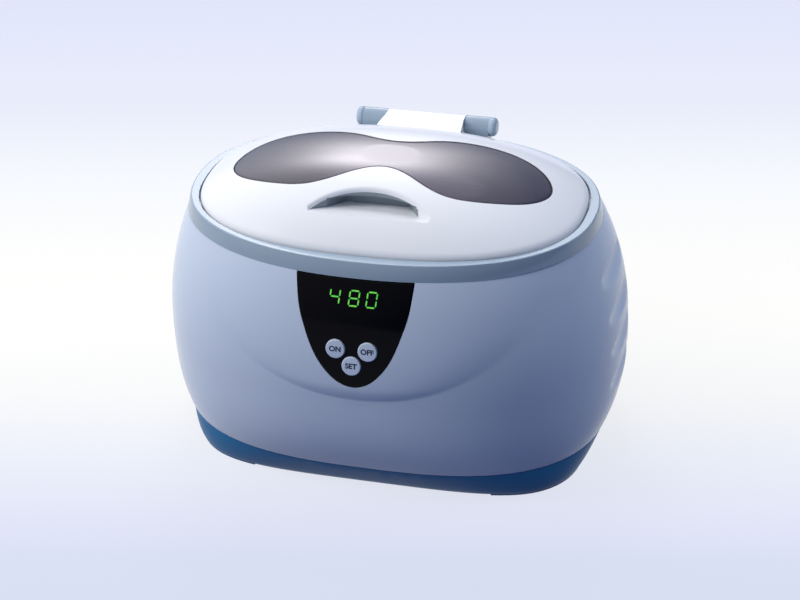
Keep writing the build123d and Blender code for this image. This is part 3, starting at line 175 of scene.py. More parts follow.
for name, place, size, power, colour in (
        ("key lamp", (-1.0, -0.40, 1.0), 0.7, 9.0, (1.0, 0.99, 0.98)),
        ("back lamp", (-0.2, 0.8, 1.1), 0.6, 5.0, (0.97, 0.98, 1.0)),
        ("side lamp", (1.1, 0.45, 0.75), 0.5, 5.2, (0.84, 0.91, 1.0))):
    lamp = bpy.data.lights.new(name, "AREA")
    lamp.shape = "DISK"
    lamp.size = size
    lamp.energy = power
    lamp.color = colour
    holder = bpy.data.objects.new(name, lamp)
    holder.location = place
    holder.visible_glossy = False
    holder.rotation_euler = (Vector((0, 0, 0.08)) - Vector(place)).to_track_quat("-Z", "Y").to_euler()
    bpy.context.scene.collection.objects.link(holder)

# ---------------------------------------------------------------- base tray
# A shallow tray moulded in blue polypropylene closes the housing from below. Its wall flares
# out to the housing's foot, and its floor carries vents, screw bosses and pockets for the feet.


def new_group(name, inputs, outputs, kind="ShaderNodeTree"):
    """Empty node group with named sockets, and its two end nodes."""
    group = bpy.data.node_groups.new(name, kind)
    for label, value in inputs.items():
        form = "NodeSocketColor" if isinstance(value, tuple) else "NodeSocketFloat"
        group.interface.new_socket(label, in_out="INPUT", socket_type=form).default_value = value
    for label, form in outputs.items():
        group.interface.new_socket(label, in_out="OUTPUT", socket_type=form)
    return group, group.nodes.new("NodeGroupInput").outputs, group.nodes.new("NodeGroupOutput")


# Moulded plastic: a faint cloudiness from the melt, a fine spark-eroded grain, and dull patches
# where hands polish it unevenly
moulding, given, result = new_group(
    "moulded plastic",
    {"Colour": tone(220, 224, 236), "Cloudiness": 0.06, "Roughness": 0.3, "Polish marks": 0.06,
     "Grain per metre": 2500.0},
    {"Colour": "NodeSocketColor", "Roughness": "NodeSocketFloat", "Height": "NodeSocketFloat"})
where = put(moulding, "ShaderNodeTexCoord").outputs["Object"]
cloud = put(moulding, "ShaderNodeTexNoise", {"Vector": where, "Scale": 38.0, "Detail": 3.0})
grain = put(moulding, "ShaderNodeTexNoise", {"Vector": where, "Scale": given["Grain per metre"],
                                             "Detail": 2.0})
marks = put(moulding, "ShaderNodeTexNoise", {"Vector": where, "Scale": 120.0, "Detail": 5.0,
                                             "Roughness": 0.7})
amount = put(moulding, "ShaderNodeMath", {0: cloud.outputs["Fac"], 1: given["Cloudiness"]},
             operation="MULTIPLY")
deeper = put(moulding, "ShaderNodeMix", {"Factor": amount.outputs[0], "A": given["Colour"],
                                         "B": tone(60, 78, 112)}, data_type="RGBA")
shift = put(moulding, "ShaderNodeMath", {0: marks.outputs["Fac"], 1: 0.5}, operation="SUBTRACT")
dulling = put(moulding, "ShaderNodeMath", {0: shift.outputs[0], 1: given["Polish marks"],
                                           2: given["Roughness"]}, operation="MULTIPLY_ADD")
moulding.links.new(deeper.outputs["Result"], result.inputs["Colour"])
moulding.links.new(dulling.outputs[0], result.inputs["Roughness"])
moulding.links.new(grain.outputs["Fac"], result.inputs["Height"])


def moulded(name, colour, roughness, grain=2500.0, relief=0.00001, cloudiness=0.06,
            polish_marks=0.06, **sockets):
    """Material for a moulded plastic or rubber piece; sockets are set on the shader itself."""
    material = bpy.data.materials.new(name)
    material.use_nodes = True
    tree = material.node_tree
    shader = tree.nodes["Principled BSDF"]
    surface = put(tree, "ShaderNodeGroup")
    surface.node_tree = moulding
    for label, value in {"Colour": colour, "Cloudiness": cloudiness, "Roughness": roughness,
                         "Polish marks": polish_marks, "Grain per metre": grain}.items():
        surface.inputs[label].default_value = value
    bump = put(tree, "ShaderNodeBump", {"Height": surface.outputs["Height"], "Distance": relief,
                                        "Strength": 0.6})
    tree.links.new(surface.outputs["Colour"], shader.inputs["Base Color"])
    tree.links.new(surface.outputs["Roughness"], shader.inputs["Roughness"])
    tree.links.new(bump.outputs["Normal"], shader.inputs["Normal"])
    for label, value in sockets.items():
        shader.inputs[label.replace("_", " ")].default_value = value
    return material


def oval_value(points, wide, deep, square, centre=0.0):
    """Below one inside an upright oval, above one outside it."""
    return ((abs(points[..., 0] / wide) ** square
             + abs((points[..., 1] - centre) / deep) ** square) ** (1 / square))


def between(height, bottom, top, low, high):
    """Value that runs evenly from low to high between two heights."""
    return low + (high - low) * np.clip((height - bottom) / (top - bottom), 0, 1)


def copied(name, walls=(), crease=32, bevel=0.0, source=None):
    """Joined copy of a CAD node with evenly curved shading; walls are functions of a point
    that are one on a curved wall, and give that wall its exact direction; flat faces
    that stand square to the machine then keep their own."""
    mesh = nodes[source or name].data.copy()
    mesh.name = name
    mesh.materials.clear()
    shape = bmesh.new()
    shape.from_mesh(mesh)
    bmesh.ops.remove_doubles(shape, verts=shape.verts, dist=0.000002)
    if bevel:
        bmesh.ops.dissolve_limit(shape, angle_limit=math.radians(1), verts=shape.verts,
                                 edges=shape.edges)
    shape.to_mesh(mesh)
    shape.free()
    mesh.polygons.foreach_set("use_smooth", [True] * len(mesh.polygons))
    mesh.set_sharp_from_angle(angle=math.radians(crease))
    if walls:
        spots = np.empty(len(mesh.vertices) * 3)
        mesh.vertices.foreach_get("co", spots)
        corners = np.empty(len(mesh.loops), int)
        mesh.loops.foreach_get("vertex_index", corners)
        spots = spots.reshape(-1, 3)[corners] / mm
        flat = np.empty(len(mesh.polygons) * 3)
        mesh.polygons.foreach_get("normal", flat)
        sides = np.empty(len(mesh.polygons), int)
        mesh.polygons.foreach_get("loop_total", sides)
        flat = np.repeat(flat.reshape(-1, 3), sides, axis=0)
        chosen = np.zeros_like(spots)
        step = 0.01
        for wall in walls:
            slope = np.stack([(wall(spots + offset) - wall(spots - offset)) / (2 * step)
                              for offset in np.eye(3) * step], axis=1)
            length = np.linalg.norm(slope, axis=1) + 1e-12
            outward = slope / length[:, None]
            agree = (outward * flat).sum(1)
            on_wall = ((abs(wall(spots) - 1) / length < 0.12) & (abs(agree) > 0.93)
                       & (abs(chosen).sum(1) == 0))
            chosen[on_wall] = (outward * np.sign(agree)[:, None])[on_wall]
        level = (abs(flat).max(1) > 0.99995) & (abs(chosen).sum(1) == 0)
        chosen[level] = flat[level]
        mesh.normals_split_custom_set([tuple(n) for n in chosen])
    piece = bpy.data.objects.new(name, mesh)
    bpy.context.scene.collection.objects.link(piece)
    if bevel:
        rounding = piece.modifiers.new("rounding", "BEVEL")
        rounding.width = bevel * mm
        rounding.segments = 2
        rounding.limit_method = "ANGLE"
        rounding.angle_limit = math.radians(40)
        rounding.harden_normals = False
    return piece


def fit(piece, material, slot, *replaced, body="root"):
    """Give a piece its material, its body and the CAD nodes that it stands for."""
    piece.data.materials.append(material)
    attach(piece, body)
    if replaced:
        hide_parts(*replaced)
    return piece


tray_bottom, tray_top = 1.4, 14.0


def tray_wall(points):
    """One on the flared outer wall of the base tray."""
    share = np.clip((points[..., 2] - tray_bottom) / (tray_top - tray_bottom), 0, 1) ** 0.8
    return oval_value(points, 90.5 + 6.7 * share, 59.6 + 7.8 * share, 4.0 - 1.3 * share,
                      0.7 * share)


plinth_blue = moulded("blue plinth plastic", tone(20, 102, 152), 0.38, cloudiness=0.10,
                      Specular_IOR_Level=0.2)
fit(copied("base_tray", [tray_wall]), plinth_blue, "plinth_blue", "base_tray", body="machine")

# ---------------------------------------------------------------- housing
# The barrel-shaped body is one moulding in glossy white ABS. A raised front runs out in a
# smile-shaped crease, finger flutes groove both flanks, and pockets take the control panel,
# the keys and the mains inlet. A shelf inside carries the tank.
waist, shoulder, foot = 52.6, 110.7, 14.0
barrel_centre = 0.7
crease_low, crease_wide = 56.0, 81.5


def barrel_oval(height):
    """Half width, half depth and squareness of the barrel."""
    up = np.clip((height - waist) / (shoulder - waist), 0, 1) ** 2.2
    down = np.clip((waist - height) / (waist - foot), 0, 1) ** 2.9
    return (104.0 - 11.1 * up - 6.8 * down, 75.0 - 12.1 * up - 7.6 * down,
            2.38 - 0.15 * up + 0.32 * down)


def front_oval(height):
    """Half width, half depth and squareness of the raised front."""
    wide, deep, square = barrel_oval(height)
    full = 76.1 - 12.5 * np.clip((height - waist) / (shoulder - waist), 0, 1) ** 2.2
    start = deep - barrel_centre
    short = np.clip((crease_low + 8 - height) / 8, 0, 1)
    reach = start + (full - start) * (1 - short ** 2)
    rise = np.clip((shoulder - height) / (shoulder - crease_low), 0, 1)
    edge_x = crease_wide * np.sqrt(1 - rise ** 1.7)
    edge_y = deep * (1 - (edge_x / wide) ** square) ** (1 / square) - barrel_centre
    spread = edge_x / np.maximum(1 - np.minimum(edge_y / reach, 0.9999) ** square,
                                 1e-4) ** (1 / square)
    return np.where(height < crease_low + 1, 46.0, spread), reach, square


def front_y(x, height):
    """Place of the raised front's surface."""
    wide, deep, square = front_oval(np.asarray(height, float))
    return -deep * (1 - np.minimum(abs(x) / wide, 1) ** square) ** (1 / square)


def ray_length(aims, wide, deep, square, centre=0.0):
    """Distance from the middle of the machine to an oval wall, along each heading."""
    x, y = aims
    length = (abs(x / wide) ** square + abs(y / deep) ** square) ** (-1 / square)
    for _ in range(8):
        length = length / (abs(x * length / wide) ** square
                           + abs((y * length - centre) / deep) ** square) ** (1 / square)
    return length


def skin(name, rows, loop=False):
    """Closed surface through rings of points in millimetres; a ring of one point ends it."""
    starts = np.cumsum([0] + [len(row) for row in rows])
    pairs = [(row, row + 1) for row in range(len(rows) - 1)] + [(len(rows) - 1, 0)] * loop
    faces = []
    for low, high in pairs:
        few, many = len(rows[low]), len(rows[high])
        for i in range(max(few, many) if max(few, many) > 1 else 0):
            corners = (starts[low] + i % few, starts[low] + (i + 1) % few,
                       starts[high] + (i + 1) % many, starts[high] + i % many)
            faces.append(tuple(dict.fromkeys(int(corner) for corner in corners)))
    mesh = bpy.data.meshes.new(name)
    mesh.from_pydata([tuple(p) for p in np.concatenate(rows) * mm], [], faces)
    mesh.polygons.foreach_set("use_smooth", [True] * len(mesh.polygons))
    piece = bpy.data.objects.new(name, mesh)
    bpy.context.scene.collection.objects.link(piece)
    return piece


def evaluated(piece, crease=32):
    """Replace a piece's mesh by what its modifiers make of it."""
    mesh = bpy.data.meshes.new_from_object(
        piece.evaluated_get(bpy.context.evaluated_depsgraph_get()))
    piece.modifiers.clear()
    piece.data = mesh
    mesh.polygons.foreach_set("use_smooth", [True] * len(mesh.polygons))
    mesh.set_sharp_from_angle(angle=math.radians(crease))
    return piece


def cut(piece, *cutters, operation="DIFFERENCE", crease=32):
    """Cut the cutters out of a piece, or join them to it, and throw them away."""
    for cutter in cutters:
        step = piece.modifiers.new("cut", "BOOLEAN")
        step.object = cutter
        step.operation = operation
        step.solver = "EXACT"
    evaluated(piece, crease)
    for cutter in cutters:
        bpy.data.objects.remove(cutter)
    return piece


def block(low, high, frame_of=Matrix.Identity(4)):
    """Plain box between two corners in millimetres, as a tool for cutting."""
    corners = [Vector((x, y, z)) for z in (low[2], high[2])
               for x, y in ((low[0], low[1]), (high[0], low[1]), (high[0], high[1]),
                            (low[0], high[1]))]
    places = [np.array([tuple(frame_of @ corner) for corner in corners[i:i + 4]]) for i in (0, 4)]
    middle = [row.mean(0, keepdims=True) for row in places]
    return skin("tool", [middle[0], *places, middle[1]])


def drum(radii, heights, frame_of=Matrix.Identity(4), sides=64):
    """Turned solid: radii at heights along the Z axis of its frame."""
    rows = []
    for radius, height in zip(radii, heights):
        ring = [(radius * math.cos(2 * math.pi * i / sides),
                 radius * math.sin(2 * math.pi * i / sides), height)
                for i in range(sides if radius else 1)]
        rows.append(np.array([tuple(frame_of @ Vector(p)) for p in ring]))
    return skin("tool", rows)


def gathered(tools):
    """One tool made of several that lie apart."""
    shape = bmesh.new()
    for tool in tools:
        shape.from_mesh(tool.data)
        bpy.data.objects.remove(tool)
    whole = bpy.data.objects.new("tool", bpy.data.meshes.new("tool"))
    shape.to_mesh(whole.data)
    shape.free()
    bpy.context.scene.collection.objects.link(whole)
    return whole


# Outer skin: its rows follow the crease, so that the crease stays a clean line
turns = np.arange(320) * 2 * math.pi / 320
aims = np.stack([104.0 * np.cos(turns), 75.0 * np.sin(turns)])
aims = aims / np.hypot(*aims)
split_height = np.full(len(turns), 98.0)
for _ in range(12):
    x = ray_length(aims, *barrel_oval(split_height), barrel_centre) * aims[0]
    inside = np.clip(1 - (x / crease_wide) ** 2, 0, 1) ** (1 / 1.7)
    line = shoulder - (shoulder - crease_low) * inside
    split_height = np.where(aims[1] < 0, np.minimum(line, 98.0), 98.0)
share = np.concatenate([np.linspace(0, 1, 131), 1 + np.linspace(0, 1, 51)[1:]])[:, None]
height = np.where(share <= 1, foot + (split_height - foot) * share,
                  split_height + (shoulder - split_height) * (share - 1))
outer = ray_length(aims, *barrel_oval(height), barrel_centre)
raised = np.where((aims[1] < -0.02) & (height > crease_low - 2),
                  ray_length(aims, *front_oval(height)), 0)
weight = np.clip(0.5 + (raised - outer) / 0.5, 0, 1)
outer = outer + (raised - outer) * weight + 0.25 * weight * (1 - weight)
flute_depth, flute_radius = 2, 9
for flute in (40.0, 57.5, 75.0, 94.0):
    lean_in = abs(height - flute)
    floor_x = (barrel_oval(np.array(flute))[0] - flute_depth + flute_radius
               - np.sqrt(np.maximum(flute_radius ** 2 - lean_in ** 2, 0)))
    groove = np.where((lean_in < flute_radius) & (abs(aims[0]) > 0.5), floor_x / abs(aims[0]),
                      999.0)
    weight = np.clip(0.5 + (outer - groove) / 0.8, 0, 1)
    outer = outer + (groove - outer) * weight - 0.4 * weight * (1 - weight)
outer -= 0.3 * np.clip(1 - (height - foot) / 0.4, 0, 1) ** 2


def ring_at(length, height):
    """Row of points at a distance from the middle, along every heading."""
    return np.stack([length * aims[0], length * aims[1],
                     np.broadcast_to(height, length.shape)], axis=-1)


rows = list(ring_at(outer, height))
wall, shelf_top, shelf_low = 3.0, 106.9, 104.9


def inner(height):
    """Row on the inside of the barrel's wall."""
    wide, deep, square = barrel_oval(np.array(height))
    return ring_at(ray_length(aims, wide - wall, deep - wall, square, barrel_centre), height)


shelf_reach = ray_length(aims, 79.3, 49.3, 2.4)
rows += [inner(shoulder), inner(shelf_top), ring_at(shelf_reach, shelf_top),
         ring_at(shelf_reach, shelf_low)]
rows += [inner(z) for z in np.linspace(shelf_low, foot, 24)]
housing = skin("housing", rows, loop=True)

lean = math.radians(12)
key_height = 81.1
control_face = (Matrix.Translation((0, float(front_y(0, key_height)), key_height))
                @ Matrix(((1, 0, 0), (0, math.sin(lean), math.cos(lean)),
                          (0, -math.cos(lean), math.sin(lean)))).transposed().to_4x4())
key_places = {"on": (-7.05, 0.0), "off": (7.05, 0.0), "set": (0.0, -7.0 / math.cos(lean))}
panel_edge = ((0.0, 63.5), (6.3, 65.3), (10.6, 68.9), (14.8, 74.2), (18.4, 81.0), (21.3, 88.7),
              (23.6, 96.0), (24.9, 103.6), (25.6, 109.6))


def spline(places, count, closed=False):
    """Evenly bending curve through places in a plane, as an array of points."""
    places = np.array(places, float)
    if closed:
        places = np.concatenate([places[-6:], places, places[:7]])
    chords = np.hypot(*np.diff(places, axis=0).T)
    knots = np.concatenate([[0], np.cumsum(chords)])
    size = len(places)
    matrix, side = np.eye(size), np.zeros((size, 2))
    for i in range(1, size - 1):
        matrix[i, i - 1:i + 2] = chords[i - 1], 2 * (chords[i - 1] + chords[i]), chords[i]
        side[i] = 6 * ((places[i + 1] - places[i]) / chords[i]
                       - (places[i] - places[i - 1]) / chords[i - 1])
    bend = np.linalg.solve(matrix, side)
    low, high = (knots[6], knots[size - 7]) if closed else (knots[0], knots[-1])
    when = np.linspace(low, high, count, endpoint=not closed)
    i = np.clip(np.searchsorted(knots, when, side="right") - 1, 0, size - 2)
    gap, t = chords[i][:, None], (when - knots[i])[:, None]
    return (places[i] + t * ((places[i + 1] - places[i]) / gap - gap * (2 * bend[i] + bend[i + 1]) / 6)
            + t ** 2 * bend[i] / 2 + t ** 3 * (bend[i + 1] - bend[i]) / (6 * gap))


def shield(grow, top):
    """Outline of the control panel in X and Z, grown to the sides and down."""
    half = [(x * (1 + grow / 25.6), 109.6 - (109.6 - z) * (1 + grow / 46.1)) for x, z in panel_edge]
    curve = spline([(-x, z) for x, z in reversed(half[1:])] + half, 181)
    right = curve[-1]
    lid_line = np.linspace((right[0], top), (-right[0], top), 49)
    return np.concatenate([curve, lid_line])


def shield_layers(outline, depths):
    """Rings of a plate that follows the raised front: pairs of shrink share and depth."""
    middle = np.array([0.0, 92.0])
    rows = []
    for share, depth in depths:
        flat = middle + (outline - middle) * share if share else middle[None]
        rows.append(np.stack([flat[:, 0], front_y(flat[:, 0], flat[:, 1]) + depth, flat[:, 1]],
                             axis=-1))
    return rows


pocket_depth = 1.72
shares = np.linspace(0, 1, 24)
pocket = skin("tool", shield_layers(shield(0.14, shoulder + 2), [(s, pocket_depth) for s in shares]
                                    + [(s, -4.0) for s in shares[::-1]]))
display_up, display_wide, display_high, key_hole = 23.0, 12, 5.4, 4.45
tools = [pocket, block((-display_wide, -display_high + display_up, -9.2),
                       (display_wide, display_high + display_up, 4), control_face)]
tools += [drum((0, key_hole, key_hole, 0), (-8, -8, 4, 4),
               control_face @ Matrix.Translation((*place, 0))) for place in key_places.values()]
tools.append(block((-13.5, -60.3, shelf_low - 1), (13.5, -51.9, shelf_top + 1)))
inlet_x, inlet_z, inlet_face = -30.0, 32.0, 68.8
for half, high, near, far in ((13.1, 9.1, inlet_face, 81), (10.1, 6.1, 57, 70)):
    tools.append(block((inlet_x - half, near, inlet_z - high), (inlet_x + half, far, inlet_z + high)))
# Screw bosses with a rib to the wall, posts for the control board, and their pilot holes
boss_places = [(x, y) for x in (-76, 76) for y in (-33, 33)]
post_frames = [control_face @ Matrix.Translation((x, rise, 0)) for x in (-19.5, 19.5)
               for rise in (-11.0, 13.0)]
boss_radius, boss_top, boss_pilot, pilot_top = 4.5, 38.0, 1.55, 34.0
rib_half, rib_low, rib_start, rib_reach = 1.2, 18.0, 74.0, (91.4, 95.4)
post_radius, post_pilot, post_near, post_far, post_pilot_near = 2.6, 1.15, -4.5, -13.0, -6.5
bosses, ribs, pilots = [], [], []
for x, y in boss_places:
    upright, side = Matrix.Translation((x, y, 0)), np.sign(x)
    bosses.append(drum((0, boss_radius, boss_radius, 0), (foot, foot, boss_top, boss_top), upright))
    pilots.append(drum((0, boss_pilot, boss_pilot, 0), (foot - 1, foot - 1, pilot_top, pilot_top),
                       upright, sides=32))
    ends = [sorted((side * rib_start, side * reach)) for reach in rib_reach]
    near, far = y - rib_half, y + rib_half
    quads = [np.array([(a, near, z), (b, near, z), (b, far, z), (a, far, z)])
             for (a, b), z in zip(ends, (rib_low, boss_top))]
    ribs.append(skin("tool", [quads[0].mean(0, keepdims=True), *quads,
                              quads[1].mean(0, keepdims=True)]))
for frame_of in post_frames:
    bosses.append(drum((0, post_radius, post_radius, 0), (post_far, post_far, post_near, post_near),
                       frame_of, sides=40))
    pilots.append(drum((0, post_pilot, post_pilot, 0),
                       (post_far - 1, post_far - 1, post_pilot_near, post_pilot_near),
                       frame_of, sides=24))
tools.append(gathered(pilots))
cut(housing, gathered(bosses), gathered(ribs), operation="UNION")
cut(housing, block((inlet_x - 16, inlet_face - 3.2, inlet_z - 12), (inlet_x + 16, 73.4, inlet_z + 12)),
    operation="UNION")
cut(housing, *tools)
# the housing's white is set darker and bluer than the lid's white, as painted shade from the blue
# light that reaches the body
gloss_white = moulded("glossy white housing plastic", tone(208, 219, 235), 0.24, cloudiness=0.04,
                      relief=0.000004, Coat_Weight=0.12, Coat_Roughness=0.06,
                      Specular_IOR_Level=0.15)
fit(housing, gloss_white, "gloss_white", "housing", body="machine")

# ---------------------------------------------------------------- rubber feet
# Four round rubber feet are pressed into shallow pockets of the tray; each has a rounded edge
# and two grip rings moulded into its sole.


def new_tree(name, **inputs):
    """Empty geometry tree with a geometry input, named inputs and its two end nodes."""
    forms = {float: "NodeSocketFloat", int: "NodeSocketInt", Vector: "NodeSocketVector",
             bool: "NodeSocketBool"}
    tree = bpy.data.node_groups.new(name, "GeometryNodeTree")
    tree.interface.new_socket("Geometry", in_out="INPUT", socket_type="NodeSocketGeometry")
    for label, value in inputs.items():
        label = label.replace("_", " ")
        if isinstance(value, str):
            tree.interface.new_socket(label, in_out="INPUT", socket_type=value)
        else:
            socket = tree.interface.new_socket(label, in_out="INPUT",
                                               socket_type=forms[type(value)])
            socket.default_value = value
    tree.interface.new_socket("Geometry", in_out="OUTPUT", socket_type="NodeSocketGeometry")
    return tree, tree.nodes.new("NodeGroupInput").outputs, tree.nodes.new("NodeGroupOutput").inputs


def grown(name, tree, places, edges=(), crease=32, **values):
    """Piece that a geometry tree makes from places in millimetres, turned into a plain mesh."""
    mesh = bpy.data.meshes.new(name)
    mesh.from_pydata([tuple(Vector(place) * mm) for place in places], list(edges), [])
    piece = bpy.data.objects.new(name, mesh)
    bpy.context.scene.collection.objects.link(piece)
    step = piece.modifiers.new(name, "NODES")
    step.node_group = tree
    for item in tree.interface.items_tree:
        label = item.name.replace(" ", "_")
        if item.in_out == "INPUT" and label in values:
            step[item.identifier] = values[label]
    return evaluated(piece, crease)


def maths(tree, kind, first, second=0.0):
    """Output of one arithmetic step."""
    return put(tree, "ShaderNodeMath", {0: first, 1: second}, operation=kind).outputs[0]


# Sets one part out on every place
set_out, given, result = new_tree("set out", Part="NodeSocketObject", Turn=Vector((0, 0, 0)),
                                  Material="NodeSocketMaterial")
source = put(set_out, "GeometryNodeObjectInfo", {"Object": given["Part"]})
pose = put(set_out, "FunctionNodeEulerToRotation", {"Euler": given["Turn"]})
copies = put(set_out, "GeometryNodeInstanceOnPoints",
             {"Points": given["Geometry"], "Instance": source.outputs["Geometry"],
              "Rotation": pose.outputs[0]})
real = put(set_out, "GeometryNodeRealizeInstances", {"Geometry": copies.outputs[0]})
painted = put(set_out, "GeometryNodeSetMaterial", {"Geometry": real.outputs[0],
                                                   "Material": given["Material"]})
set_out.links.new(painted.outputs[0], result[0])


def set_around(name, part, places, material, slot, *replaced, body="machine", turn=(0, 0, 0)):
    """Copies of a part on several places, as one piece."""
    piece = grown(name, set_out, places, Part=part, Turn=Vector(turn), Material=material)
    bpy.data.objects.remove(part)
    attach(piece, body)
    if replaced:
        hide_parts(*replaced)
    return piece


foot_rubber = moulded("black foot rubber", tone(38, 38, 42), 0.72, grain=1800.0, relief=0.00005,
                      cloudiness=0.15, Sheen_Weight=0.2)
sole = drum((0, 2.2, 2.5, 2.9, 3.2, 4.6, 4.9, 5.3, 5.6, 6.4, 6.82, 7.0, 7.0, 0),
            (0, 0, 0.3, 0.3, 0, 0, 0.3, 0.3, 0, 0, 0.18, 0.6, 2.6, 2.6), sides=48)
set_around("rubber_feet", sole, [(x, y, 0) for x in (-62, 62) for y in (-39, 39)], foot_rubber,
           "foot_rubber", "rubber_feet")

# ---------------------------------------------------------------- screws
# Zinc-plated self-tapping screws with cross slots hold the tray to the housing, and smaller
# ones hold the two circuit boards to their posts.


# Worked metal: streaks along one direction, stained a little, with uneven shine
metal, given, result = new_group(
    "worked metal",
    {"Colour": tone(190, 192, 196), "Stain": 0.15, "Roughness": 0.3, "Streaks": 0.15,
     "Streaks across": 900.0, "Streaks along": 30.0},
    {"Colour": "NodeSocketColor", "Roughness": "NodeSocketFloat", "Height": "NodeSocketFloat"})
where = put(metal, "ShaderNodeTexCoord").outputs["Object"]
stretch = put(metal, "ShaderNodeCombineXYZ", {"X": given["Streaks along"],
                                              "Y": given["Streaks across"],
                                              "Z": given["Streaks across"]})
pulled = put(metal, "ShaderNodeVectorMath", {0: where, 1: stretch.outputs[0]},
             operation="MULTIPLY")
streaks = put(metal, "ShaderNodeTexNoise", {"Vector": pulled.outputs[0], "Scale": 1.0,
                                            "Detail": 4.0})
stains = put(metal, "ShaderNodeTexNoise", {"Vector": where, "Scale": 60.0, "Detail": 4.0})
amount = put(metal, "ShaderNodeMath", {0: stains.outputs["Fac"], 1: given["Stain"]},
             operation="MULTIPLY")
duller = put(metal, "ShaderNodeMix", {"Factor": amount.outputs[0], "A": given["Colour"],
                                      "B": tone(70, 72, 78)}, data_type="RGBA")
shift = put(metal, "ShaderNodeMath", {0: streaks.outputs["Fac"], 1: 0.5}, operation="SUBTRACT")
shine = put(metal, "ShaderNodeMath", {0: shift.outputs[0], 1: given["Streaks"],
                                      2: given["Roughness"]}, operation="MULTIPLY_ADD")
metal.links.new(duller.outputs["Result"], result.inputs["Colour"])
metal.links.new(shine.outputs[0], result.inputs["Roughness"])
metal.links.new(streaks.outputs["Fac"], result.inputs["Height"])


def worked(name, colour, roughness, stain=0.15, streaks=0.15, across=900.0, along=30.0,
           relief=0.000004, metallic=1.0, **sockets):
    """Material for a metal piece; sockets are set on the shader itself."""
    material = bpy.data.materials.new(name)
    material.use_nodes = True
    tree = material.node_tree
    shader = tree.nodes["Principled BSDF"]
    surface = put(tree, "ShaderNodeGroup")
    surface.node_tree = metal
    for label, value in {"Colour": colour, "Stain": stain, "Roughness": roughness,
                         "Streaks": streaks, "Streaks across": across,
                         "Streaks along": along}.items():
        surface.inputs[label].default_value = value
    bump = put(tree, "ShaderNodeBump", {"Height": surface.outputs["Height"], "Distance": relief,
                                        "Strength": 0.5})
    tree.links.new(surface.outputs["Colour"], shader.inputs["Base Color"])
    tree.links.new(surface.outputs["Roughness"], shader.inputs["Roughness"])
    tree.links.new(bump.outputs["Normal"], shader.inputs["Normal"])
    shader.inputs["Metallic"].default_value = metallic
    for label, value in sockets.items():
        shader.inputs[label.replace("_", " ")].default_value = value
    return material


# Screw: shank with a thread, head with a cross slot; the head's top faces up its Z axis
screw, given, result = new_tree(
    "cross-slot screw", Head_radius=0.003, Head_height=0.002, Shank_radius=0.0015,
    Shank_length=0.02, Slot_length=0.0034, Slot_width=0.0008, Slot_depth=0.0012,
    Thread_turns=14.0, Turn=Vector((0, 0, 0)), Material="NodeSocketMaterial")
head = put(screw, "GeometryNodeMeshCone", {"Vertices": 40, "Side Segments": 1, "Fill Segments": 1,
                                           "Radius Top": given["Head radius"],
                                           "Radius Bottom": given["Head radius"],
                                           "Depth": given["Head height"]}, fill_type="NGON")
slots = []
for long_way, short_way in (("Slot length", "Slot width"), ("Slot width", "Slot length")):
    deep = put(screw, "ShaderNodeMath", {0: given["Slot depth"], 1: 2.0}, operation="MULTIPLY")
    size = put(screw, "ShaderNodeCombineXYZ", {"X": given[long_way], "Y": given[short_way],
                                               "Z": deep.outputs[0]})
    bar = put(screw, "GeometryNodeMeshCube", {"Size": size.outputs[0]})
    lift = put(screw, "ShaderNodeCombineXYZ", {"Z": given["Head height"]})
    slots.append(put(screw, "GeometryNodeTransform", {"Geometry": bar.outputs[0],
                                                      "Translation": lift.outputs[0]}))
slotted = put(screw, "GeometryNodeMeshBoolean", {"Mesh 1": head.outputs[0]}, operation="DIFFERENCE",
              solver="EXACT")
for slot in slots:
    screw.links.new(slot.outputs[0], slotted.inputs["Mesh 2"])
down = put(screw, "ShaderNodeMath", {0: given["Shank length"], 1: -1.0}, operation="MULTIPLY")
foot_place = put(screw, "ShaderNodeCombineXYZ", {"Z": down.outputs[0]})
shank = put(screw, "GeometryNodeMeshCylinder", {"Vertices": 24, "Radius": given["Shank radius"],
                                                "Depth": given["Shank length"]})
half_down = put(screw, "ShaderNodeMath", {0: given["Shank length"], 1: -0.5}, operation="MULTIPLY")
shank_place = put(screw, "ShaderNodeCombineXYZ", {"Z": half_down.outputs[0]})
shank = put(screw, "GeometryNodeTransform", {"Geometry": shank.outputs[0],
                                             "Translation": shank_place.outputs[0]})
helix = put(screw, "GeometryNodeCurveSpiral", {"Resolution": 14, "Rotations": given["Thread turns"],
                                               "Start Radius": given["Shank radius"],
                                               "End Radius": given["Shank radius"],
                                               "Height": given["Shank length"]})
helix = put(screw, "GeometryNodeTransform", {"Geometry": helix.outputs[0],
                                             "Translation": foot_place.outputs[0]})
ridge_size = put(screw, "ShaderNodeMath", {0: given["Shank radius"], 1: 0.02},
                 operation="MULTIPLY")
ridge = put(screw, "GeometryNodeCurvePrimitiveCircle", {"Resolution": 3,
                                                        "Radius": ridge_size.outputs[0]})
thread = put(screw, "GeometryNodeCurveToMesh", {"Curve": helix.outputs[0],
                                                "Profile Curve": ridge.outputs[0],
                                                "Fill Caps": True})
whole = put(screw, "GeometryNodeJoinGeometry")
for bit in (slotted.outputs["Mesh"], shank.outputs[0], thread.outputs[0]):
    screw.links.new(bit, whole.inputs[0])
pose = put(screw, "FunctionNodeEulerToRotation", {"Euler": given["Turn"]})
copies = put(screw, "GeometryNodeInstanceOnPoints",
             {"Points": given["Geometry"], "Instance": whole.outputs[0],
              "Rotation": pose.outputs[0]})
real = put(screw, "GeometryNodeRealizeInstances", {"Geometry": copies.outputs[0]})
painted = put(screw, "GeometryNodeSetMaterial", {"Geometry": real.outputs[0],
                                                 "Material": given["Material"]})
screw.links.new(painted.outputs[0], result[0])

screw_steel = worked("zinc-plated screw steel", tone(196, 198, 202), 0.28, across=2500.0)


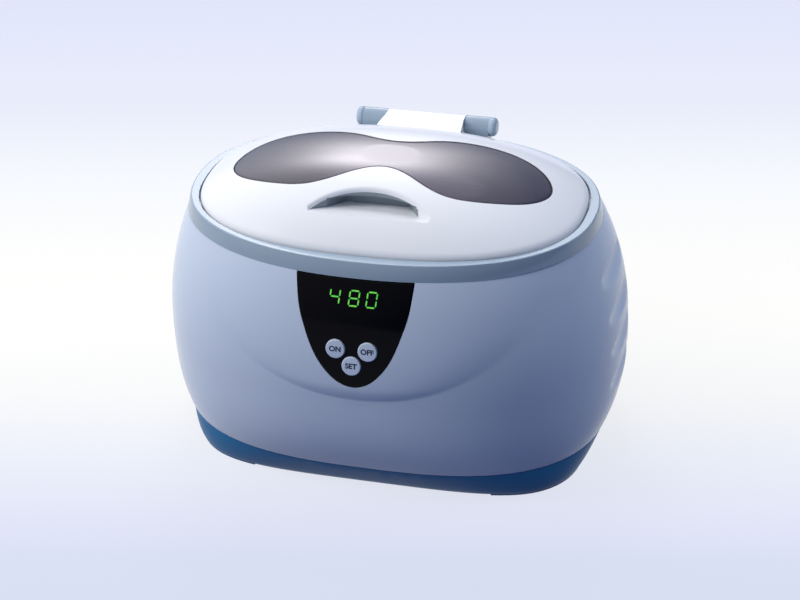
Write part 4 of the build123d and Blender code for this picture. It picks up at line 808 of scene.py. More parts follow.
def screws(name, places, head, shank, turn):
    """Screws at places; head and shank are pairs of radius and length."""
    piece = grown(name, screw, places, Head_radius=head[0] * mm, Head_height=head[1] * mm,
                  Shank_radius=shank[0] * mm, Shank_length=shank[1] * mm,
                  Slot_length=1.13 * head[0] * mm, Slot_width=0.27 * head[0] * mm,
                  Slot_depth=0.6 * head[1] * mm, Thread_turns=shank[1] / 1.3,
                  Turn=Vector(turn), Material=screw_steel)
    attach(piece, "machine")
    if name in nodes:
        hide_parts(name)


screws("base_screws", [(x, y, 5.4) for x, y in boss_places], (3.0, 2.0),
       (1.47, 20.6), (math.pi, 0, 0))
board_top = 10.6
screws("power_board_screws", [(-58 + x, y, board_top) for x in (-23, 23) for y in (-22, 22)],
       (2.2, 1.4), (1.08, 5.0), (0, 0, 0))
post_places = [frame_of @ Vector((0, 0, -14.6)) for frame_of in post_frames]
screws("control_board_screws", post_places, (2.0, 1.3), (1.08, 6.0),
       (-lean - math.pi / 2, 0, 0))

# ---------------------------------------------------------------- tank and seal
# The tank is deep drawn from stainless sheet, with a rounded floor edge and a flat flange
# that lies on a silicone seal on the housing's shelf.
# Sweeps a profile round an upright oval: X of the profile is its distance outside the oval
oval_sweep, given, result = new_tree("oval sweep", Half_width=0.0775, Half_depth=0.0475,
                                     Squareness=2.4, Steps_round=240, Profile_points=8,
                                     Closed=0, Material="NodeSocketMaterial")
rows = put(oval_sweep, "ShaderNodeMath", {0: given["Profile points"], 1: given["Closed"]},
           operation="ADD")
round_steps = put(oval_sweep, "ShaderNodeMath", {0: given["Steps round"], 1: 1.0},
                  operation="ADD")
sheet_mesh = put(oval_sweep, "GeometryNodeMeshGrid", {"Vertices X": rows.outputs[0],
                                                      "Vertices Y": round_steps.outputs[0]})
order = put(oval_sweep, "GeometryNodeInputIndex")
row = put(oval_sweep, "ShaderNodeMath", {0: order.outputs[0], 1: round_steps.outputs[0]},
          operation="DIVIDE")
row = put(oval_sweep, "ShaderNodeMath", {0: row.outputs[0]}, operation="FLOOR")
row = put(oval_sweep, "ShaderNodeMath", {0: row.outputs[0], 1: given["Profile points"]},
          operation="MODULO")
column = put(oval_sweep, "ShaderNodeMath", {0: order.outputs[0], 1: round_steps.outputs[0]},
             operation="MODULO")
angle = put(oval_sweep, "ShaderNodeMath", {0: column.outputs[0], 1: given["Steps round"]},
            operation="DIVIDE")
angle = put(oval_sweep, "ShaderNodeMath", {0: angle.outputs[0], 1: 2 * math.pi},
            operation="MULTIPLY")
here = put(oval_sweep, "GeometryNodeInputPosition")
spot = put(oval_sweep, "GeometryNodeSampleIndex", {"Geometry": given["Geometry"]},
           data_type="FLOAT_VECTOR")
oval_sweep.links.new(here.outputs[0], spot.inputs["Value"])
oval_sweep.links.new(row.outputs[0], spot.inputs["Index"])
parts = put(oval_sweep, "ShaderNodeSeparateXYZ", {0: spot.outputs["Value"]})
ways = [put(oval_sweep, "ShaderNodeMath", {0: angle.outputs[0]}, operation=kind)
        for kind in ("COSINE", "SINE")]
powers = []
for way in ways:
    size = put(oval_sweep, "ShaderNodeMath", {0: way.outputs[0]}, operation="ABSOLUTE")
    powers.append(put(oval_sweep, "ShaderNodeMath", {0: size.outputs[0], 1: given["Squareness"]},
                      operation="POWER"))
total = put(oval_sweep, "ShaderNodeMath", {0: powers[0].outputs[0], 1: powers[1].outputs[0]},
            operation="ADD")
inverse = put(oval_sweep, "ShaderNodeMath", {0: -1.0, 1: given["Squareness"]}, operation="DIVIDE")
reach = put(oval_sweep, "ShaderNodeMath", {0: total.outputs[0], 1: inverse.outputs[0]},
            operation="POWER")
sides = []
for way, half in zip(ways, ("Half width", "Half depth")):
    wide = put(oval_sweep, "ShaderNodeMath", {0: given[half], 1: parts.outputs["X"]},
               operation="ADD")
    side = put(oval_sweep, "ShaderNodeMath", {0: wide.outputs[0], 1: way.outputs[0]},
               operation="MULTIPLY")
    sides.append(put(oval_sweep, "ShaderNodeMath", {0: side.outputs[0], 1: reach.outputs[0]},
                     operation="MULTIPLY"))
place = put(oval_sweep, "ShaderNodeCombineXYZ", {"X": sides[0].outputs[0],
                                                 "Y": sides[1].outputs[0],
                                                 "Z": parts.outputs["Z"]})
moved = put(oval_sweep, "GeometryNodeSetPosition", {"Geometry": sheet_mesh.outputs[0],
                                                    "Position": place.outputs[0]})
welded = put(oval_sweep, "GeometryNodeMergeByDistance", {"Geometry": moved.outputs[0],
                                                         "Distance": 0.000002})
real = put(oval_sweep, "GeometryNodeRealizeInstances", {"Geometry": welded.outputs[0]})
painted = put(oval_sweep, "GeometryNodeSetMaterial", {"Geometry": real.outputs[0],
                                                      "Material": given["Material"]})
oval_sweep.links.new(painted.outputs[0], result[0])


def swept(name, profile, material, closed=False, half=(77.5, 47.5), square=2.4, steps=240):
    """Oval piece from a profile: pairs of distance outside the oval and height."""
    piece = grown(name, oval_sweep, [(x, 0, z) for x, z in profile], Half_width=half[0] * mm,
                  Half_depth=half[1] * mm, Squareness=square, Steps_round=steps,
                  Profile_points=len(profile), Closed=int(closed), Material=material)
    shape = bmesh.new()
    shape.from_mesh(piece.data)
    bmesh.ops.recalc_face_normals(shape, faces=shape.faces)
    shape.to_mesh(piece.data)
    shape.free()
    piece.data.set_sharp_from_angle(angle=math.radians(32))
    return piece


def tub_side(grow, floor, top, radius, draft=2.5, rise=52.0, base=56.7, gap=0.0):
    """Half profile of a tub from its middle, round the floor edge and up the leaning wall."""
    def lean_out(z):
        return grow - gap - draft * (1 - min(max((z - base) / rise, 0), 1))
    points = [(-47.5, floor), (-30.0, floor), (lean_out(floor) - radius - 6, floor)]
    for bend in np.linspace(0, math.pi / 2, 12):
        z = floor + radius * (1 - math.cos(bend))
        points.append((lean_out(z) - radius * (1 - math.sin(bend)), z))
    return points + [(lean_out(z), z) for z in np.linspace(floor + radius, top, 8)[1:]]


stainless = worked("drawn stainless sheet", tone(200, 202, 206), 0.26, stain=0.08, streaks=0.2,
                   across=700.0, along=60.0, relief=0.000003)
tank_inside = tub_side(0, 56.7, 108.4, 9.0)
tank_outside = tub_side(0.8, 55.9, 107.9, 9.8)
tank_profile = (tank_inside + [(0.3, 108.7), (5.85, 108.7), (6.0, 108.55), (6.0, 107.9)]
                + tank_outside[::-1])
tank = swept("tank", tank_profile, stainless)
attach(tank, "machine")
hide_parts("tank")
seal_silicone = moulded("white silicone seal", tone(214, 214, 218), 0.45, grain=1500.0,
                        Subsurface_Weight=0.1)
seal = swept("tank_seal", [(1.8, 107.1), (1.8, 107.7), (2.0, 107.9), (5.8, 107.9), (6.0, 107.7),
                           (6.0, 107.1), (5.8, 106.9), (2.0, 106.9)], seal_silicone, closed=True)
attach(seal, "machine")
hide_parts("tank_seal")

# ---------------------------------------------------------------- basket
# A white polypropylene basket stands free in the tank on four short feet. Slots in its floor
# and walls let the water through, and a turned-out rim serves as its handle.
basket_white = moulded("white basket plastic", tone(232, 234, 238), 0.35, cloudiness=0.03)
basket_floor, basket_top, basket_wall = 60.7, 99.7, 1.6
outside = tub_side(0, basket_floor, basket_top - 1.6, 6.0, rise=39.0, base=60.7, gap=4.0)
inside = tub_side(-basket_wall, basket_floor + basket_wall, basket_top, 4.4, rise=39.0, base=60.7,
                  gap=4.0)
lip = [(-1.65, 98.1), (-1.4, 98.35), (-1.4, 99.45), (-1.65, 99.7)]
basket = swept("basket", outside + lip + inside[::-1], basket_white, steps=200)


def prism(outline, low, high, frame_of=Matrix.Identity(4)):
    """Straight solid over a flat outline, between two heights or lists of heights."""
    outline = np.array(outline, float)
    low, high = (np.broadcast_to(np.asarray(end, float), len(outline)) for end in (low, high))
    ahead = np.roll(outline, -1, axis=0)
    if (outline[:, 0] * ahead[:, 1] - outline[:, 1] * ahead[:, 0]).sum() < 0:
        outline, low, high = outline[::-1], low[::-1], high[::-1]
    size = len(outline)
    spots = [tuple((frame_of @ Vector((*place, z))) * mm) for end in (low, high)
             for place, z in zip(outline, end)]
    faces = [tuple(range(size - 1, -1, -1)), tuple(range(size, 2 * size))]
    faces += [(i, (i + 1) % size, size + (i + 1) % size, size + i) for i in range(size)]
    mesh = bpy.data.meshes.new("tool")
    mesh.from_pydata(spots, [], faces)
    tool = bpy.data.objects.new("tool", mesh)
    bpy.context.scene.collection.objects.link(tool)
    return tool


def slot_tool(length, width, depth, turn, places):
    """Round-ended slot cutters of one size, set out on their places."""
    half = length / 2 - width / 2
    outline = [(width / 2 * math.cos(a), half + width / 2 * math.sin(a))
               for a in np.linspace(0, math.pi, 9)]
    outline += [(-x, -y) for x, y in outline]
    part = prism(outline, -depth, depth)
    piece = grown("tool", set_out, places, Part=part, Turn=Vector(turn))
    bpy.data.objects.remove(part)
    return piece


floor_places = [(x, y, basket_floor + 0.8) for x in (-16, -8, 0, 8, 16) for y in (-22.4, 0, 22.4)]
floor_places += [(side * 32 + x, y, basket_floor + 0.8) for side in (-1, 1) for x in (-8, 0, 8)
                 for y in (-22.4, 0, 22.4)]
tools = [slot_tool(16, 3, 1.8, (0, 0, 0), floor_places),
         slot_tool(32, 3, 1.8, (0, 0, 0), [(x, 0, basket_floor + 0.8) for x in (-57, 57)]),
         slot_tool(22, 3, 47.5, (math.pi / 2, 0, 0), [(x * 12, 0, 82.2) for x in range(-4, 5)]),
         slot_tool(22, 3, 77.5, (math.pi / 2, 0, math.pi / 2), [(0, y, 82.2)
                                                               for y in (-18, -6, 6, 18)])]
cut(basket, *tools)
post = drum((0, 2.6, 3.0, 3.0, 0), (0, 0, 0.4, 4.6, 4.6), sides=32)
posts = grown("tool", set_out, [(x, y, 56.7) for x in (-45, 45) for y in (-20, 20)], Part=post)
bpy.data.objects.remove(post)
cut(basket, posts, operation="UNION")
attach(basket, "basket_body")
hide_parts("basket")

# ---------------------------------------------------------------- rating plate
# A thin anodised aluminium plate with round corners is glued to the tray's underside. It is
# left bare.


def coat(name, material):
    """Give a CAD node that keeps its shape a material."""
    for place in nodes[name].material_slots:
        place.material = material


coat("rating_plate", worked("anodised plate", tone(176, 180, 188), 0.42, across=1500.0,
                            along=40.0, relief=0.00001))

# ---------------------------------------------------------------- circuit boards
# Two boards of glass fibre sheet carry the electronics. Copper tracks show through their green
# solder mask, and bright solder cones hold the parts of the power board.
tracks = bpy.data.node_groups.new("board tracks", "ShaderNodeTree")
tracks.interface.new_socket("Where", in_out="INPUT", socket_type="NodeSocketVector")
for label, value in (("Mask", tone(22, 84, 48)), ("Track", tone(48, 124, 72))):
    tracks.interface.new_socket(label, in_out="INPUT",
                                socket_type="NodeSocketColor").default_value = value
for label, form in (("Colour", "NodeSocketColor"), ("Height", "NodeSocketFloat")):
    tracks.interface.new_socket(label, in_out="OUTPUT", socket_type=form)
given = tracks.nodes.new("NodeGroupInput").outputs
result = tracks.nodes.new("NodeGroupOutput")
grid = put(tracks, "ShaderNodeTexBrick",
           {"Vector": given["Where"], "Color1": (0, 0, 0, 1), "Color2": (0.15, 0.15, 0.15, 1),
            "Mortar": (1, 1, 1, 1), "Scale": 100.0, "Mortar Size": 0.06, "Mortar Smooth": 0.1,
            "Brick Width": 1.1, "Row Height": 0.22})
weave = put(tracks, "ShaderNodeTexNoise", {"Vector": given["Where"], "Scale": 2500.0})
mottled = put(tracks, "ShaderNodeMix", {"Factor": weave.outputs["Fac"], "A": given["Mask"],
                                        "B": tone(16, 66, 38)}, data_type="RGBA")
printed = put(tracks, "ShaderNodeMix", {"Factor": grid.outputs["Color"],
                                        "A": mottled.outputs["Result"], "B": given["Track"]},
              data_type="RGBA")
tracks.links.new(printed.outputs["Result"], result.inputs["Colour"])
tracks.links.new(grid.outputs["Fac"], result.inputs["Height"])


def board_material(name, tip):
    """Solder mask over tracks that run in a plane tipped back from level by this angle."""
    material = bpy.data.materials.new(name)
    material.use_nodes = True
    tree = material.node_tree
    shader = tree.nodes["Principled BSDF"]
    turned = put(tree, "ShaderNodeMapping", {
        "Vector": put(tree, "ShaderNodeTexCoord").outputs["Object"], "Rotation": (tip, 0, 0)})
    surface = put(tree, "ShaderNodeGroup")
    surface.node_tree = tracks
    tree.links.new(turned.outputs[0], surface.inputs["Where"])
    bump = put(tree, "ShaderNodeBump", {"Height": surface.outputs["Height"],
                                        "Distance": 0.00004})
    tree.links.new(surface.outputs["Colour"], shader.inputs["Base Color"])
    tree.links.new(bump.outputs["Normal"], shader.inputs["Normal"])
    shader.inputs["Roughness"].default_value = 0.35
    return material


coat("power_board", board_material("power board mask", 0.0))
coat("control_board", board_material("control board mask", lean - math.pi / 2))
solder = worked("solder", tone(188, 190, 194), 0.3, stain=0.1, across=400.0)
joint = drum((0, 0.3, 0.5, 1.0, 0), (-1.0, -0.9, -0.5, 0, 0), sides=12)
joint_places = [(x, y, 9.0) for x, y in (
    (-80, 10), (-80, 2), (-75, 10), (-75, 2), (-65, 10), (-65, 2), (-60, 10), (-60, 2),
    (-75.8, -15), (-68.2, -15), (-62, -21), (-50, -21), (-51, 20), (-45, 20), (-35, -8.5),
    (-35, -3.5), (-44, -21), (-41, -21), (-42, 5.5), (-42, -7.5), (-42, 2.5), (-42, -4.5),
    (-42, 8.5), (-42, -10.5), (-38, 4), (-34, 4), (-38, 8), (-34, 8), (-38, 12), (-34, 12))]
set_around("solder_joints", joint, joint_places, solder, "screw_steel")
resistor = drum((0, 0.7, 1.0, 1.05, 0.8, 0.8, 1.05, 1.0, 0.7, 0),
                (-2.4, -2.4, -2.2, -1.5, -1.1, 1.1, 1.5, 2.2, 2.4, 2.4), sides=20)
resistor_tan = moulded("resistor coating", tone(196, 172, 128), 0.4, cloudiness=0.2)
set_around("resistors", resistor, [(-36, y, 11.65) for y in (4, 8, 12)]
           + [(x, y, 11.65) for x in (-73, -64) for y in (20, 23.4)], resistor_tan,
           "header_white", turn=(0, math.pi / 2, 0))

# ---------------------------------------------------------------- transformer
# The power transformer has a ferrite core of two E-shaped halves, and a coil of enamelled
# copper wire wound on a plastic bobbin between them.
coil, given, result = new_tree("wound coil", Width=0.017, Depth=0.022, Corner=0.003,
                               Wire_radius=0.0005, Turns=14, Pitch=0.0011, Bottom=0.015,
                               Material="NodeSocketMaterial")
frame_line = put(coil, "GeometryNodeCurvePrimitiveQuadrilateral", {"Width": given["Width"],
                                                                   "Height": given["Depth"]})
rounded = put(coil, "GeometryNodeFilletCurve", {"Curve": frame_line.outputs[0],
                                                "Radius": given["Corner"], "Count": 5},
              mode="POLY")
wire = put(coil, "GeometryNodeCurvePrimitiveCircle", {"Resolution": 8,
                                                      "Radius": given["Wire radius"]})
one_turn = put(coil, "GeometryNodeCurveToMesh", {"Curve": rounded.outputs[0],
                                                 "Profile Curve": wire.outputs[0]})
lowest = put(coil, "ShaderNodeCombineXYZ", {"Z": given["Bottom"]})
rise = put(coil, "ShaderNodeCombineXYZ", {"Z": given["Pitch"]})
levels = put(coil, "GeometryNodeMeshLine", {"Count": given["Turns"],
                                            "Start Location": lowest.outputs[0],
                                            "Offset": rise.outputs[0]})
stack = put(coil, "GeometryNodeInstanceOnPoints", {"Points": levels.outputs[0],
                                                   "Instance": one_turn.outputs[0]})
at_places = put(coil, "GeometryNodeInstanceOnPoints", {"Points": given["Geometry"],
                                                       "Instance": stack.outputs[0]})
real = put(coil, "GeometryNodeRealizeInstances", {"Geometry": at_places.outputs[0]})
painted = put(coil, "GeometryNodeSetMaterial", {"Geometry": real.outputs[0],
                                                "Material": given["Material"]})
coil.links.new(painted.outputs[0], result[0])
enamel = worked("enamelled copper wire", tone(184, 96, 52), 0.28, stain=0.1, across=2000.0)
winding = grown("winding_wire", coil, [(-70, 6, 0)], Width=16.4 * mm, Depth=20.9 * mm,
                Corner=2.4 * mm, Wire_radius=0.5 * mm, Turns=14, Pitch=1.03 * mm,
                Bottom=15.9 * mm, Material=enamel)
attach(winding, "machine")
coat("transformer_core", moulded("ferrite core", tone(52, 52, 56), 0.6, grain=3000.0,
                                 relief=0.00003, cloudiness=0.2))
bobbin = block((-77.6, -3.8, 15.2), (-62.4, 15.8, 30.0))
cut(bobbin, *[block((-78.8, -5.0, z), (-61.2, 17.0, z + 0.9)) for z in (14.8, 29.5)],
    operation="UNION", crease=30)
cut(bobbin, block((-74.2, -0.2, 14.0), (-65.8, 12.2, 31.0)), crease=30)
bobbin.name = "transformer_bobbin"
fit(bobbin, moulded("bobbin plastic", tone(206, 176, 96), 0.45, cloudiness=0.15),
    "winding_tape", "transformer_winding", body="machine")

# ---------------------------------------------------------------- capacitor and fuse
# The smoothing capacitor is an aluminium can in a dark shrink sleeve with a rolled groove. The
# fuse is a glass tube between two nickel-plated caps.
can = drum((0, 7.6, 8.0, 8.0, 7.5, 7.5, 8.0, 8.0, 7.7, 7.1, 6.6, 6.5, 0),
           (10.6, 10.6, 10.9, 12.2, 12.8, 13.2, 13.8, 37.6, 38.3, 38.6, 38.5, 38.3, 38.3),
           Matrix.Translation((-72, -15, 0)), sides=72)
can.name = "filter_capacitor"
can.data.set_sharp_from_angle(angle=math.radians(50))
fit(can, moulded("shrink sleeve", tone(26, 34, 74), 0.3, cloudiness=0.1, Coat_Weight=0.3),
    "capacitor_sleeve", "filter_capacitor", body="machine")
along_x = Matrix.Translation((-56, -21, 13.2)) @ Matrix.Rotation(math.pi / 2, 4, "Y")
cap = drum((0, 2.3, 2.6, 2.6, 2.5, 2.6, 2.6, 2.2, 2.2, 0),
           (-8, -8, -7.7, -6.2, -5.9, -5.6, -3.2, -3.0, -2.6, -2.6), along_x, sides=40)
other = drum((0, 2.2, 2.2, 2.6, 2.6, 2.5, 2.6, 2.6, 2.3, 0),
             (2.6, 2.6, 3.0, 3.2, 5.6, 5.9, 6.2, 7.7, 8, 8), along_x, sides=40)
cut(cap, other, operation="UNION", crease=40)
cap.name = "mains_fuse"
fit(cap, worked("nickel plate", tone(196, 192, 180), 0.2, across=1200.0), "fuse_caps",
    "mains_fuse", body="machine")
tube = drum((0, 2.05, 2.1, 2.1, 2.05, 0), (-2.55, -2.55, -2.5, 2.5, 2.55, 2.55), along_x,
            sides=40)
tube.name = "fuse_glass"
fit(tube, moulded("fuse glass", tone(222, 230, 232), 0.05, cloudiness=0.02, polish_marks=0.0,
                  relief=0.0, Transmission_Weight=0.9, IOR=1.5), "fuse_caps", body="machine")

# ---------------------------------------------------------------- heat sink and transistors
# An extruded aluminium plate with five fins cools two power transistors, which are clipped
# to its flat side and soldered by three legs each.
finned, given, result = new_tree(
    "finned plate", Plate=Vector((0.0025, 0.026, 0.024)), Fin=Vector((0.008, 0.0016, 0.024)),
    Fins=5, Pitch=0.0061, Material="NodeSocketMaterial")
plate_block = put(finned, "GeometryNodeMeshCube", {"Size": given["Plate"]})
fin_block = put(finned, "GeometryNodeMeshCube", {"Size": given["Fin"]})
plate_size = put(finned, "ShaderNodeSeparateXYZ", {0: given["Plate"]})
fin_size = put(finned, "ShaderNodeSeparateXYZ", {0: given["Fin"]})
out = maths(finned, "MULTIPLY", maths(finned, "ADD", plate_size.outputs["X"],
                                      fin_size.outputs["X"]), -0.5)
gaps = maths(finned, "SUBTRACT", given["Fins"], 1.0)
first = maths(finned, "MULTIPLY", maths(finned, "MULTIPLY", gaps, given["Pitch"]), -0.5)
start = put(finned, "ShaderNodeCombineXYZ", {"X": maths(finned, "ADD", out, 0.0004), "Y": first})
offset = put(finned, "ShaderNodeCombineXYZ", {"Y": given["Pitch"]})
spots = put(finned, "GeometryNodeMeshLine", {"Count": given["Fins"],
                                             "Start Location": start.outputs[0],
                                             "Offset": offset.outputs[0]})
fins = put(finned, "GeometryNodeInstanceOnPoints", {"Points": spots.outputs[0],
                                                    "Instance": fin_block.outputs[0]})
fins = put(finned, "GeometryNodeRealizeInstances", {"Geometry": fins.outputs[0]})
joined = put(finned, "GeometryNodeMeshBoolean", operation="UNION", solver="EXACT")
for bit in (fins.outputs[0], plate_block.outputs[0]):
    finned.links.new(bit, joined.inputs["Mesh 2"])
placed = put(finned, "GeometryNodeInstanceOnPoints", {"Points": given["Geometry"],
                                                      "Instance": joined.outputs["Mesh"]})
real = put(finned, "GeometryNodeRealizeInstances", {"Geometry": placed.outputs[0]})
painted = put(finned, "GeometryNodeSetMaterial", {"Geometry": real.outputs[0],
                                                  "Material": given["Material"]})
finned.links.new(painted.outputs[0], result[0])
extruded = worked("extruded aluminium", tone(178, 182, 188), 0.35, stain=0.1, across=600.0,
                  along=1200.0)
heat_sink = grown("heat_sink", finned, [(-44.75, -1, 22.6)], Plate=Vector((2.5, 26, 24)) * mm,
                  Fin=Vector((7.9, 1.6, 24)) * mm, Fins=5, Pitch=6.1 * mm, Material=extruded)
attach(heat_sink, "machine")
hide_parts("heat_sink")
coat("power_transistors", moulded("black epoxy", tone(30, 30, 33), 0.5, grain=1800.0,
                                  relief=0.00003, cloudiness=0.05))

# ---------------------------------------------------------------- terminals and leads
# Screw terminals take the leads from the mains inlet and to the transducer, and a plug header
# takes the cable to the control board. Every lead is copper in coloured vinyl.
coat("terminal_blocks", moulded("green terminal plastic", tone(40, 124, 72), 0.4))
screws("terminal_screws", [(-51, 20, 18.4), (-45, 20, 18.4), (-35, -8.5, 18.4),
                           (-35, -3.5, 18.4)], (1.4, 0.7), (0.8, 3.0), (0, 0, 0))
coat("cable_headers", moulded("white header plastic", tone(228, 228, 220), 0.45))
coat("mains_leads", moulded("brown lead vinyl", tone(104, 66, 44), 0.4, Sheen_Weight=0.1))
coat("transducer_leads", moulded("red lead vinyl", tone(168, 40, 36), 0.4, Sheen_Weight=0.1))
coat("panel_cable", moulded("grey cable vinyl", tone(150, 152, 158), 0.45, Sheen_Weight=0.1))

# ---------------------------------------------------------------- mains inlet
# A black inlet of nylon sits in the housing's back. Its flange has rounded corners, and two
# round nickel-plated pins stand in its figure-of-eight socket.
inlet_nylon = moulded("black inlet nylon", tone(34, 34, 37), 0.45, grain=1800.0,
                      relief=0.00003, cloudiness=0.08)
fit(copied("mains_inlet", bevel=0.25), inlet_nylon, "inlet_black", "mains_inlet",
    body="machine")
coat("inlet_pins", worked("nickel-plated pin", tone(206, 202, 190), 0.22, across=1500.0))

# ---------------------------------------------------------------- transducer
# A stack of two ceramic rings with brass electrodes is clamped by a bolt between a steel mass
# and an aluminium horn, and the horn is bonded to the tank's floor.
coat("transducer_horn", worked("turned aluminium", tone(196, 198, 202), 0.3, across=200.0,
                               along=200.0, streaks=0.2))
ceramic = moulded("fired ceramic", tone(176, 172, 156), 0.55, grain=1500.0, relief=0.00002,
                  cloudiness=0.2)
brass = worked("brass electrode", tone(206, 168, 92), 0.25, across=900.0)
for layer in ("upper", "lower"):
    coat(f"piezo_ring_{layer}", ceramic)
    coat(f"electrode_{layer}", brass)
coat("transducer_backmass", worked("turned steel", tone(150, 152, 156), 0.32, across=300.0,
                                   along=300.0, streaks=0.2))
coat("transducer_bolt", worked("bolt steel", tone(120, 122, 128), 0.35, across=1200.0))

# ---------------------------------------------------------------- rim ring
# A blue-grey ABS ring closes the housing at the top. Its ledge carries the lid's edge, and two
# knuckles at the back hold the hinge pins, whose domed caps are pressed in from both sides.
ring_low, ring_top = 110.7, 116.7


def ring_wall(points):
    """One on the band that shows all round the ring."""
    z = points[..., 2]
    return oval_value(points, between(z, ring_low, ring_top, 92.9, 91.4),
                      between(z, ring_low, ring_top, 63.6, 60.3),
                      between(z, ring_low, ring_top, 2.23, 2.22))


def ring_mouth(points):
    """One on the upright wall round the lid."""
    return oval_value(points, 87.1, 55.5, 2.43)


def ring_throat(points):
    """One on the ring's opening above the tank."""
    return oval_value(points, 77.0, 47.0, 2.4)


ring_plastic = moulded("blue-grey ring plastic", tone(150, 168, 184), 0.22, cloudiness=0.05,
                       relief=0.000004, Coat_Weight=0.4, Coat_Roughness=0.05)
fit(copied("rim_ring", [ring_wall, ring_mouth, ring_throat]), ring_plastic, "ring_blue_grey",
    "rim_ring", body="machine")
hinge_plastic = moulded("grey hinge plastic", tone(164, 182, 198), 0.30, Coat_Weight=0.2,
                        Coat_Roughness=0.1)
for side in ("left", "right"):
    fit(copied(f"hinge_pin_{side}"), hinge_plastic, "hinge_grey", f"hinge_pin_{side}",
        body="machine")

# ---------------------------------------------------------------- lid
# The domed lid is one white moulding. A finger grip is let into its front slope, a stepped
# opening takes the window, and a flat lug at the back runs between the ring's knuckles.
lid_wide, lid_deep, lid_square = 86.3, 54.7, 2.43
lid_low, lid_shoulder, lid_crown, lid_wall = 114.0, 117.9, 19.0, 2.4
flat_top = 0.9944                # share of the crown at which the dome levels out


def oval_row(wide, deep, square, centre, height, count=300):
    """Row of points round an oval."""
    turns = np.arange(count) * 2 * math.pi / count
    x, y = np.cos(turns), np.sin(turns)
    reach = (abs(x) ** square + abs(y) ** square) ** (-1 / square)
    return np.column_stack([wide * x * reach, centre + deep * y * reach, np.full(count, height)])


def dome_row(inset, scale):
    """Row of the lid's dome moved inwards by inset; the scale is one at its shoulder."""
    rise = min(1 - scale ** 2.75, flat_top)
    height = lid_shoulder + (lid_crown - inset) * rise
    if not scale:
        return np.array([[0.0, -rise, height]])
    return oval_row((lid_wide - inset) * scale, (lid_deep - inset) * scale, lid_square, -rise,
                    height)


def dome_height(x, y, inset):
    """Height of the dome moved inwards by inset, above a place in plan."""
    rise = np.zeros_like(x)
    for _ in range(14):
        scale = ((abs(x) / (lid_wide - inset)) ** lid_square
                 + (abs(y + rise) / (lid_deep - inset)) ** lid_square) ** (1 / lid_square)
        rise = np.clip(1 - scale ** 2.75, 0, flat_top)
    return lid_shoulder + (lid_crown - inset) * rise


def dome_block(inset):
    """Solid dome with an upright edge, as a tool."""
    edge = dome_row(inset, 1.0)
    rows = [np.array([[0, 0, lid_low - 6]]), edge - [0, 0, lid_shoulder - lid_low + 6]]
    return skin("tool", rows + [dome_row(inset, s) for s in np.linspace(1, 0, 60)])


# Shell: up the edge, round the shoulder, over the dome, and back underneath
edge = dome_row(0, 1.0)
rows = [dome_row(0.25, 1.0) - [0, 0, lid_shoulder - lid_low],
        edge - [0, 0, lid_shoulder - lid_low - 0.25]]
shoulder_start = edge - [0, 0, 1.6]
shoulder_end = dome_row(0, 0.972)
for t in np.linspace(0, 1, 8):
    rows.append((1 - t) ** 2 * shoulder_start + 2 * t * (1 - t) * edge + t ** 2 * shoulder_end)
rows += [dome_row(0, s) for s in np.linspace(0.972, 0, 74)[1:]]
rows += [dome_row(lid_wall, s) for s in np.linspace(0, 1, 60)]
rows.append(dome_row(lid_wall, 1.0) - [0, 0, lid_shoulder - lid_low])
lid = skin("lid_shell", rows, loop=True)

# Hinge lug: a flat tongue that ends in a barrel round the pins
hinge_y, hinge_z, hinge_round = 61.0, 120.9, 4.4
sideways = Matrix(((0, 1, 0), (0, 0, 1), (1, 0, 0))).transposed().to_4x4()
barrel = [(hinge_y + hinge_round * math.sin(a), hinge_z + hinge_round * math.cos(a))
          for a in np.linspace(0, math.pi, 33)]
lug_profile = [(43.0, hinge_z + hinge_round), *barrel, (56.6, 119.3), (43.0, 119.3)]
lug_plan = [(-20.2, 42), (20.2, 42), (18.4, 56.3), (18.4, 70), (-18.4, 70), (-18.4, 56.3)]
lug = prism(lug_profile, -20.2, 20.2, sideways)
cut(lug, prism(lug_plan, 100, 140), operation="INTERSECT")
cut(lug, dome_block(lid_wall))

# Finger grip: a crescent dish with a pocket under its brow
brow_half, brow_y, tip_y, dish_front = 28.0, -26.8, -38.9, -48.3


def dish_floor(y):
    """Height of the dish's floor."""
    return 124.8 + 0.2 * (brow_y - np.asarray(y))


def crescent(grow):
    """Outline of the grip in plan, grown at the brow and the sides."""
    half, high = brow_half + grow, brow_y + grow - tip_y
    radius = (half ** 2 + high ** 2) / (2 * high)
    reach = math.asin(half / radius)
    arc = [(radius * math.sin(a), tip_y + high - radius + radius * math.cos(a))
           for a in np.linspace(-reach, reach, 65)]
    return np.array(arc + [(half, dish_front), (-half, dish_front)])


skin_depth = 2.2
plan = crescent(skin_depth)
backing = prism(plan, dish_floor(plan[:, 1]) - skin_depth, 150)
cut(backing, dome_block(0.2), operation="INTERSECT")
plan = np.array([(-22.2, -38.9), (22.2, -38.9), (22.2, -21.8), (-22.2, -21.8)])
pocket_backing = prism(plan, dish_floor(plan[:, 1]) - skin_depth, 150)
cut(pocket_backing, dome_block(0.2), operation="INTERSECT")
cut(lid, lug, backing, pocket_backing, operation="UNION")
brow_round = 1.6
plan = crescent(-brow_round)
dish = prism(plan, dish_floor(plan[:, 1]), 150)
rows = []
for bend in np.linspace(0, math.pi / 2, 6):
    plan = crescent(-brow_round * math.cos(bend))
    top = dome_height(plan[:, 0], plan[:, 1], 0) - brow_round * (1 - math.sin(bend))
    rows.append(np.column_stack([plan, np.maximum(top, dish_floor(plan[:, 1]) + 0.05)])[::-1])
middle = np.array([[0.0, -36.0, dish_floor(-36.0) + 1.0]])
rows = [middle] + rows + [rows[-1] * [1, 1, 0] + [0, 0, 150.0], middle * [1, 1, 0] + [0, 0, 150.0]]
brow = skin("tool", rows)
